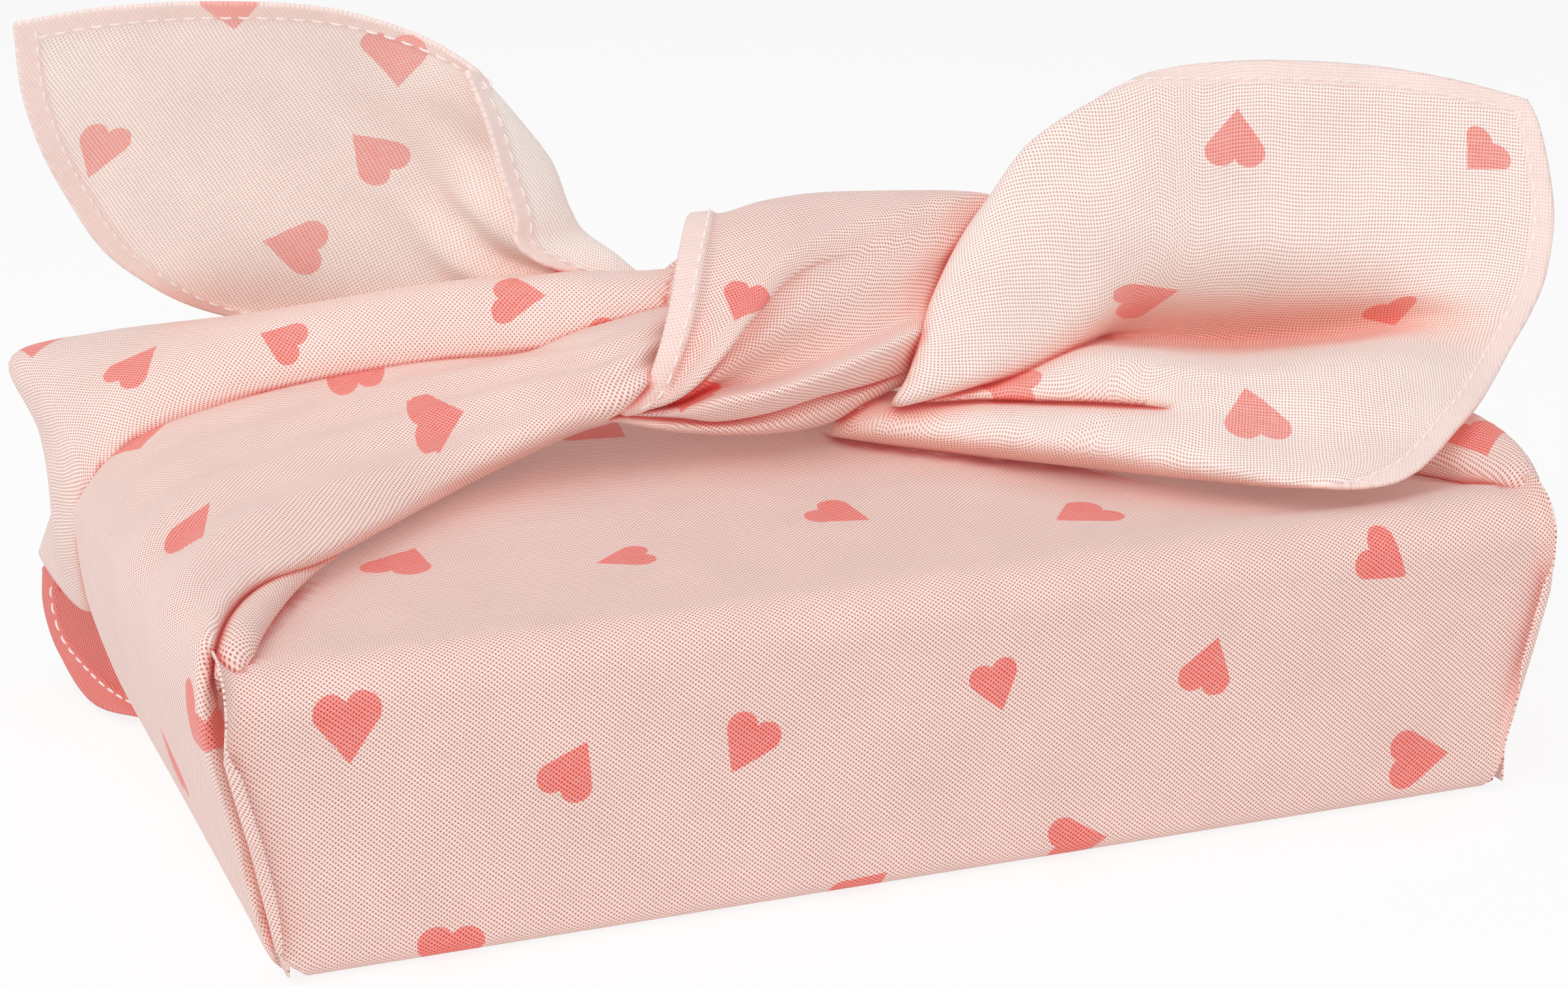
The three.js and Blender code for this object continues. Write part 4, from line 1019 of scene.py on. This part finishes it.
class GIFT_OT_wrap(bpy.types.Operator):
    """Makes the sheet that runs under the box, up both long sides and over the lid"""
    bl_idname = "gift.wrap"
    bl_label = "Wrap"

    def execute(self, context):
        front = wrap_path(-1, 152, 8.0, 1.0)
        back = wrap_path(1, 38, 5.0, 0.0)
        back[:, 1] -= 1.3 * smooth(back[:, 2], 0, 12) + 0.2
        path = np.concatenate([front, back[-2::-1]])
        y, z, reach = path.T
        edges = [np.interp(z, *zip(*edge)) - 14 * smooth(reach, 0, 30) for edge in (LEFT_EDGE, RIGHT_EDGE)]
        # The share of the width that stays flat, before the cloth rolls in at its sides
        level = 0.92
        bends = np.concatenate([np.linspace(-1, -level, 9)[:-1], np.linspace(-level, level, 110),
                                np.linspace(level, 1, 9)[1:]])
        down = run(path[:, :2], 0)
        tangent = np.gradient(path[:, :2], axis=0)
        tangent /= np.linalg.norm(tangent, axis=1, keepdims=True)
        inward = np.stack([tangent[:, 1], -tangent[:, 0]], 1)
        grid = np.zeros((len(path), len(bends), 3))
        radius = 1.3 + 2.4 * smooth(z, 42, 52) * (1 - smooth(reach, 0, 4))
        on_face = smooth(z, 1.5, 8) * (1 - smooth(reach, 0, 12))
        for i, share in enumerate(bends):
            side = math.copysign(1, share)
            half = edges[share > 0]
            rolled = smooth(half, 116, 121) * (1 - smooth(z, 40, 48))
            turn = np.radians(20 + (60 + 130 * rolled) * on_face)
            flat = half - radius
            bend = np.clip((abs(share) - level) / 0.08, 0, 1) * turn
            x = side * (min(abs(share) / level, 1) * flat + radius * np.sin(bend))
            drop = radius * (1 - np.cos(bend)) * on_face
            grid[:, i, 0] = x
            grid[:, i, 1] = y + inward[:, 0] * drop
            grid[:, i, 2] = z + inward[:, 1] * drop
        tent = top_height(grid[..., 0], grid[..., 1], 1.3) - LID_TOP - LID_GAP
        over = reach[:, None] > 0
        # A shallow hollow leaves room for the right tail when it folds down
        away = reach[:, None] * (grid[..., 1] < 0)
        hollow = 1.6 * smooth(grid[..., 0], 25, 55) * smooth(away, 2, 12) * (1 - smooth(away, 60, 90))
        grid[..., 2] += np.where(over, tent - hollow, 0)
        height = grid[..., 2]
        calm = smooth(height, 4, 12)[..., None]
        uneven = ripple(grid[..., 0], down[:, None] + 0 * grid[..., 0], 46, 3)
        grid = grid + calm * uneven[..., None] * np.stack(
            [0 * height, inward[:, :1] + 0 * height, inward[:, 1:] + 0 * height], -1) * -0.35
        cloth = Cloth("wrap_cloth", grid * MM)
        piece = cloth.make()
        hearts = cloth.seen_hearts(WRAP_HEARTS)
        cloth.print_hearts(hearts + cloth.spare_hearts(11, hearts))
        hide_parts("front_panel", "back_panel", "cloth_underside")
        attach(piece, "wrapped_box")
        return {"FINISHED"}


class GIFT_OT_left_side(bpy.types.Operator):
    """Makes the cloth of the left end and its gather up to the knot"""
    bl_idname = "gift.left_side"
    bl_label = "Left end and gather"

    def execute(self, context):
        grid = fine_net(LEFT_END + photo_net(LEFT_GATHER), 150, 110)
        ridges = [(0.16, 0.9), (0.26, -0.8), (0.36, 1.0), (0.47, -0.9), (0.56, 0.7), (0.66, -0.6),
                  (0.76, 0.6)]
        cloth = Cloth("left_gather_cloth", pleats(grid, ridges, 0.2, 0.92), painted_light_share=0.15)
        piece = cloth.make()
        hearts = cloth.seen_hearts(LEFT_GATHER_HEARTS)
        cloth.print_hearts(hearts)
        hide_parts("left_end_panel", "left_gather")
        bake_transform(piece)
        return {"FINISHED"}


class GIFT_OT_left_roll(bpy.types.Operator):
    """Makes the roll over the back of the left gather, with its pointed ear"""
    bl_idname = "gift.left_roll"
    bl_label = "Left roll"

    def execute(self, context):
        grid = fine_net(LEFT_ROLL, 110, 60)
        cloth = Cloth("left_roll_cloth", grid, painted_light_share=0.25)
        piece = cloth.make()
        cloth.print_hearts(cloth.seen_hearts(LEFT_ROLL_HEARTS))
        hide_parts("left_roll")
        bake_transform(piece)
        return {"FINISHED"}


class GIFT_OT_right_side(bpy.types.Operator):
    """Makes the cloth of the right end and its gather up to the knot"""
    bl_idname = "gift.right_side"
    bl_label = "Right end and gather"

    def execute(self, context):
        grid = fine_net(RIGHT_GATHER, 120, 90, last_row=0.99)
        cloth = Cloth("right_gather_cloth", grid, facing=-1.0)
        piece = cloth.make()
        hearts = cloth.seen_hearts(RIGHT_GATHER_HEARTS)
        cloth.print_hearts(hearts + cloth.spare_hearts(23, hearts))
        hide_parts("right_end_panel", "right_gather")
        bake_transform(piece)
        return {"FINISHED"}


class GIFT_OT_corner_roll(bpy.types.Operator):
    """Makes the small roll in the left front corner"""
    bl_idname = "gift.corner_roll"
    bl_label = "Corner roll"

    def execute(self, context):
        path = through(np.array(photo_net([CORNER_ROLL])[0]) * MM, even(60))
        ahead = np.gradient(path, axis=0)
        ahead /= np.linalg.norm(ahead, axis=1, keepdims=True)
        aside = np.cross(ahead, (0, 0, 1.0))
        aside /= np.linalg.norm(aside, axis=1, keepdims=True)
        above = np.cross(aside, ahead)
        radius = through(np.array(CORNER_ROLL_RADII) * MM, even(60))
        radius *= np.minimum(1, np.sqrt(even(60) * 7 + 0.01))
        turns = np.linspace(0, 2.35 * math.pi, 44)
        spiral = np.linspace(1.0, 0.62, 44)
        grid = path[:, None] + radius[:, None, None] * spiral[None, :, None] * (
            aside[:, None] * np.cos(turns)[None, :, None] + above[:, None] * np.sin(turns)[None, :, None])
        cloth = Cloth("corner_roll_cloth", grid)
        piece = cloth.make()
        cloth.print_hearts([])
        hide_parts("corner_roll")
        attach(piece, "wrapped_box")
        return {"FINISHED"}


class GIFT_OT_pleats(bpy.types.Operator):
    """Makes the four triangular pleats tucked against the box's ends"""
    bl_idname = "gift.pleats"
    bl_label = "Corner pleats"

    def execute(self, context):
        for node in ("front_left_pleat", "front_right_pleat", "back_left_pleat", "back_right_pleat"):
            low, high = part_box(node)
            side = math.copysign(1, low.y)
            near, far = sorted((abs(low.y), abs(high.y)), reverse=True)
            corner = (HALF_DEPTH + 0.7) * MM
            down, across = even(34)[:, None], even(24)[None, :]
            width = 0.0008 + corner - near + (1 - down) * (near - far)
            grid = np.zeros((34, 24, 3))
            grid[..., 1] = side * (corner - width * across)
            grid[..., 2] = (LID_TOP - 1) * MM * (1 - down) + low.z * down
            wave = np.sin(grid[..., 1] * 260) * np.sin(grid[..., 2] * 190)
            grid[..., 0] = (low.x + high.x) / 2 + 0.2 * MM * wave
            cloth = Cloth(f"{node}_cloth", grid)
            piece = cloth.make()
            cloth.print_hearts([])
            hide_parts(node)
            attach(piece, "wrapped_box")
        return {"FINISHED"}


class GIFT_OT_loose_flap(bpy.types.Operator):
    """Makes the tucked corner that hangs behind the left end"""
    bl_idname = "gift.loose_flap"
    bl_label = "Loose flap"

    def execute(self, context):
        grid = fine_net(photo_net(LOOSE_FLAP), 14, 44, hems=("top",))
        cloth = Cloth("loose_flap_cloth", grid, hems=("top",), turn=0)
        piece = cloth.make()
        cloth.print_hearts(cloth.seen_hearts(LOOSE_FLAP_HEARTS))
        stitches = cloth.stitch([cloth.hem_line("top")])
        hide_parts("loose_flap")
        for part in (piece, stitches):
            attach(part, "flap_cloth")
        return {"FINISHED"}


class GIFT_OT_knot(bpy.types.Operator):
    """Makes the knot: its band, two lobes and the cloth packed inside"""
    bl_idname = "gift.knot"
    bl_label = "Knot"

    def execute(self, context):
        net = [front + back for front, back in zip(photo_net(KNOT_FOLDS), KNOT_BACK)]
        grid = fine_net(net, 150, 120, hems=("foot",))
        cloth = Cloth("knot_cloth", grid, hems=("foot",), painted_light_share=0.1)
        piece = cloth.make()
        cloth.print_hearts(cloth.seen_hearts(KNOT_HEARTS))
        stitches = cloth.stitch([cloth.hem_line("foot")])
        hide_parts("knot_band", "knot_middle_lobe", "knot_lower_lobe")
        for part in (piece, stitches):
            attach(part, "knot")

        turns = np.linspace(0, 2 * math.pi, 73)[:-1]
        heights = np.linspace(-0.5 * math.pi, 0.5 * math.pi, 40)[1:-1]
        centre = np.array([8, 6, 80.5]) * MM
        places, faces = [tuple(centre - (0, 0, 0.0195))], []
        for height in heights:
            for turn in turns:
                # Here only the dents of small creases in the core's surface, no painted shade
                crease_and_painted_shade = 1 - 0.05 * abs(math.sin(4 * turn + 3 * height)) ** 3
                places.append(tuple(centre + np.array([
                    30.5 * math.cos(turn) * math.cos(height), 20.5 * math.sin(turn) * math.cos(height),
                    19.5 * math.sin(height)]) * MM * crease_and_painted_shade))
        places.append(tuple(centre + (0, 0, 0.0195)))
        count = len(turns)
        for row in range(len(heights) - 1):
            for k in range(count):
                a, b = 1 + row * count + k, 1 + row * count + (k + 1) % count
                faces.append((a, b, b + count, a + count))
        last = 1 + (len(heights) - 1) * count
        faces += [(0, 1 + (k + 1) % count, 1 + k) for k in range(count)]
        faces += [(last + k, last + (k + 1) % count, len(places) - 1) for k in range(count)]
        core = new_piece("knot_core_cloth", places, faces, cloth_finish())
        flat = np.array([places[vertex] for face in faces for vertex in face])
        write_uv(core, "cloth", np.stack([flat[:, 0] + flat[:, 1], flat[:, 2] * 1.3], 1))
        write_uv(core, "heart", np.full((len(flat), 2), NO_HEART))
        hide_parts("knot_core")
        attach(core, "knot")
        return {"FINISHED"}


class GIFT_OT_left_tail(bpy.types.Operator):
    """Makes the tail that stands up on the left"""
    bl_idname = "gift.left_tail"
    bl_label = "Left tail"

    def execute(self, context):
        hems = ("left", "right", "top")
        grid = fine_net(LEFT_TAIL, 60, 80, first_row=0.03, hems=hems)
        across, down = even(grid.shape[1])[None, :], even(grid.shape[0])[:, None]
        drawn = sum(size * np.exp(-((across - place + 0.1 * down) / 0.045) ** 2)
                    for place, size in ((0.56, 1.6), (0.63, -2.0), (0.71, 1.6), (0.78, -1.8)))
        faded = smooth(down, 0, 0.15) * (1 - smooth(down, 0.3, 0.8))
        grid = grid - normals_of(grid) * (drawn * faded * MM)[..., None]
        cloth = Cloth("left_tail_cloth", grid, hems=hems, turn=0, painted_light_share=1.0)
        piece = cloth.make()
        cloth.print_hearts(cloth.seen_hearts(LEFT_TAIL_HEARTS))
        stitches = cloth.stitch([cloth.hem_line(hem) for hem in hems])
        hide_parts("left_tail")
        for part in (piece, stitches):
            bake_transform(part)
        return {"FINISHED"}


class GIFT_OT_right_tail(bpy.types.Operator):
    """Makes the tail that opens into a petal and a trough on the right"""
    bl_idname = "gift.right_tail"
    bl_label = "Right tail"

    def execute(self, context):
        hems = ("left", "right", "top")
        cloth = Cloth("right_tail_cloth", fine_net(photo_net(RIGHT_TAIL), 70, 150, hems=hems), hems=hems,
                      turn=0, painted_light_share=0.55)
        piece = cloth.make()
        cloth.print_hearts(cloth.seen_hearts(RIGHT_TAIL_HEARTS))
        stitches = cloth.stitch([cloth.hem_line(hem) for hem in ("left", "top")])
        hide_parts("right_tail")
        for part in (piece, stitches):
            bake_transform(part)
        return {"FINISHED"}


class GIFT_OT_painted_fold_shade(bpy.types.Operator):
    """Marks how deep in the folds each point of the cloth lies, for painted shade: its colour there is
    darkened and turned a deeper pink, standing in for shade and for light passed from layer to layer"""
    bl_idname = "gift.folds"
    bl_label = "Depth of the folds"

    def execute(self, context):
        far, near = 20 * MM, 3 * MM
        pieces = [item for item in context.scene.objects if item.type == "MESH" and "cloth" in item.name
                  and item.data.uv_layers and not item.hide_render]
        places, faces, count = [], [], 0
        for piece in pieces:
            places += [tuple(vertex.co) for vertex in piece.data.vertices]
            faces += [tuple(vertex + count for vertex in face.vertices) for face in piece.data.polygons]
            count += len(piece.data.vertices)
        tree = BVHTree.FromPolygons(places, faces)
        golden = math.pi * (3 - math.sqrt(5))
        spread = []
        for k, h in enumerate(np.linspace(0.97, 0.15, 14)):
            aside = math.sqrt(1 - h * h)
            spread.append((aside * math.cos(k * golden), aside * math.sin(k * golden), h))
        for piece in pieces:
            mesh = piece.data
            blocked = np.zeros((2, len(mesh.vertices)), np.float32)
            for number, vertex in enumerate(mesh.vertices):
                normal = vertex.normal
                level = normal.orthogonal().normalized()
                third = normal.cross(level)
                start = vertex.co + normal * 0.35 * MM
                for a, b, c in spread:
                    ray = level * a + third * b + normal * c
                    distance = tree.ray_cast(start, ray, far)[3]
                    if distance is not None:
                        blocked[0, number] += 1 - distance / far
                        blocked[1, number] += max(0, 1 - distance / near)
            blocked /= len(spread)
            # Limits and gain of the painted fold and crease shade, which are chosen for each piece
            most = {"wrap_cloth": 0.16, "knot_cloth": 0.5, "right_tail_cloth": 1.0}.get(piece.name, 0.6)
            gain = 2.6 if piece.name == "right_tail_cloth" else 2.0
            # Painted shade: wide occlusion sets the fold tint, close occlusion the deep pink crease tint
            painted_fold_shade = np.clip(blocked[0] * gain - 0.1, 0, most)
            crease_and_painted_shade = np.clip(blocked[1] * 2.3 - 0.17, 0, 1)
            # The loose flap hangs in shade, so its colour gets deep painted shade all over
            if piece.name == "loose_flap_cloth":
                crease_and_painted_shade, painted_fold_shade = np.maximum(crease_and_painted_shade, 0.9), np.maximum(painted_fold_shade, 0.4)
            write_points(piece, "painted_fold_shade", painted_fold_shade)
            write_points(piece, "crease_and_painted_shade", crease_and_painted_shade)
        return {"FINISHED"}


class GIFT_PT_panel(bpy.types.Panel):
    bl_idname = "GIFT_PT_panel"
    bl_label = "Gift wrap"
    bl_space_type = "VIEW_3D"
    bl_region_type = "UI"
    bl_category = "Gift wrap"

    def draw(self, context):
        for operator in OPERATORS:
            self.layout.operator(operator.bl_idname)
        for settings in (context.scene.gift_cloth, context.scene.gift_box, context.scene.gift_studio):
            column = self.layout.column()
            for name in settings.__annotations__:
                column.prop(settings, name)


SETTINGS = {"gift_cloth": ClothSettings, "gift_box": BoxSettings, "gift_studio": StudioSettings}
OPERATORS = (
    GIFT_OT_studio, GIFT_OT_box, GIFT_OT_wrap, GIFT_OT_left_side, GIFT_OT_left_roll, GIFT_OT_right_side,
    GIFT_OT_corner_roll, GIFT_OT_pleats, GIFT_OT_loose_flap, GIFT_OT_knot, GIFT_OT_left_tail,
    GIFT_OT_right_tail, GIFT_OT_painted_fold_shade,
)


def register():
    for item in (*SETTINGS.values(), *OPERATORS, GIFT_PT_panel):
        bpy.utils.register_class(item)
    for name, settings in SETTINGS.items():
        setattr(bpy.types.Scene, name, bpy.props.PointerProperty(type=settings))


def unregister():
    for name in SETTINGS:
        delattr(bpy.types.Scene, name)
    for item in reversed((*SETTINGS.values(), *OPERATORS, GIFT_PT_panel)):
        bpy.utils.unregister_class(item)


def main():
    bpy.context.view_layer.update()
    register()
    for operator in OPERATORS:
        family, name = operator.bl_idname.split(".")
        getattr(getattr(bpy.ops, family), name)()


if __name__ == "__main__":
    main()
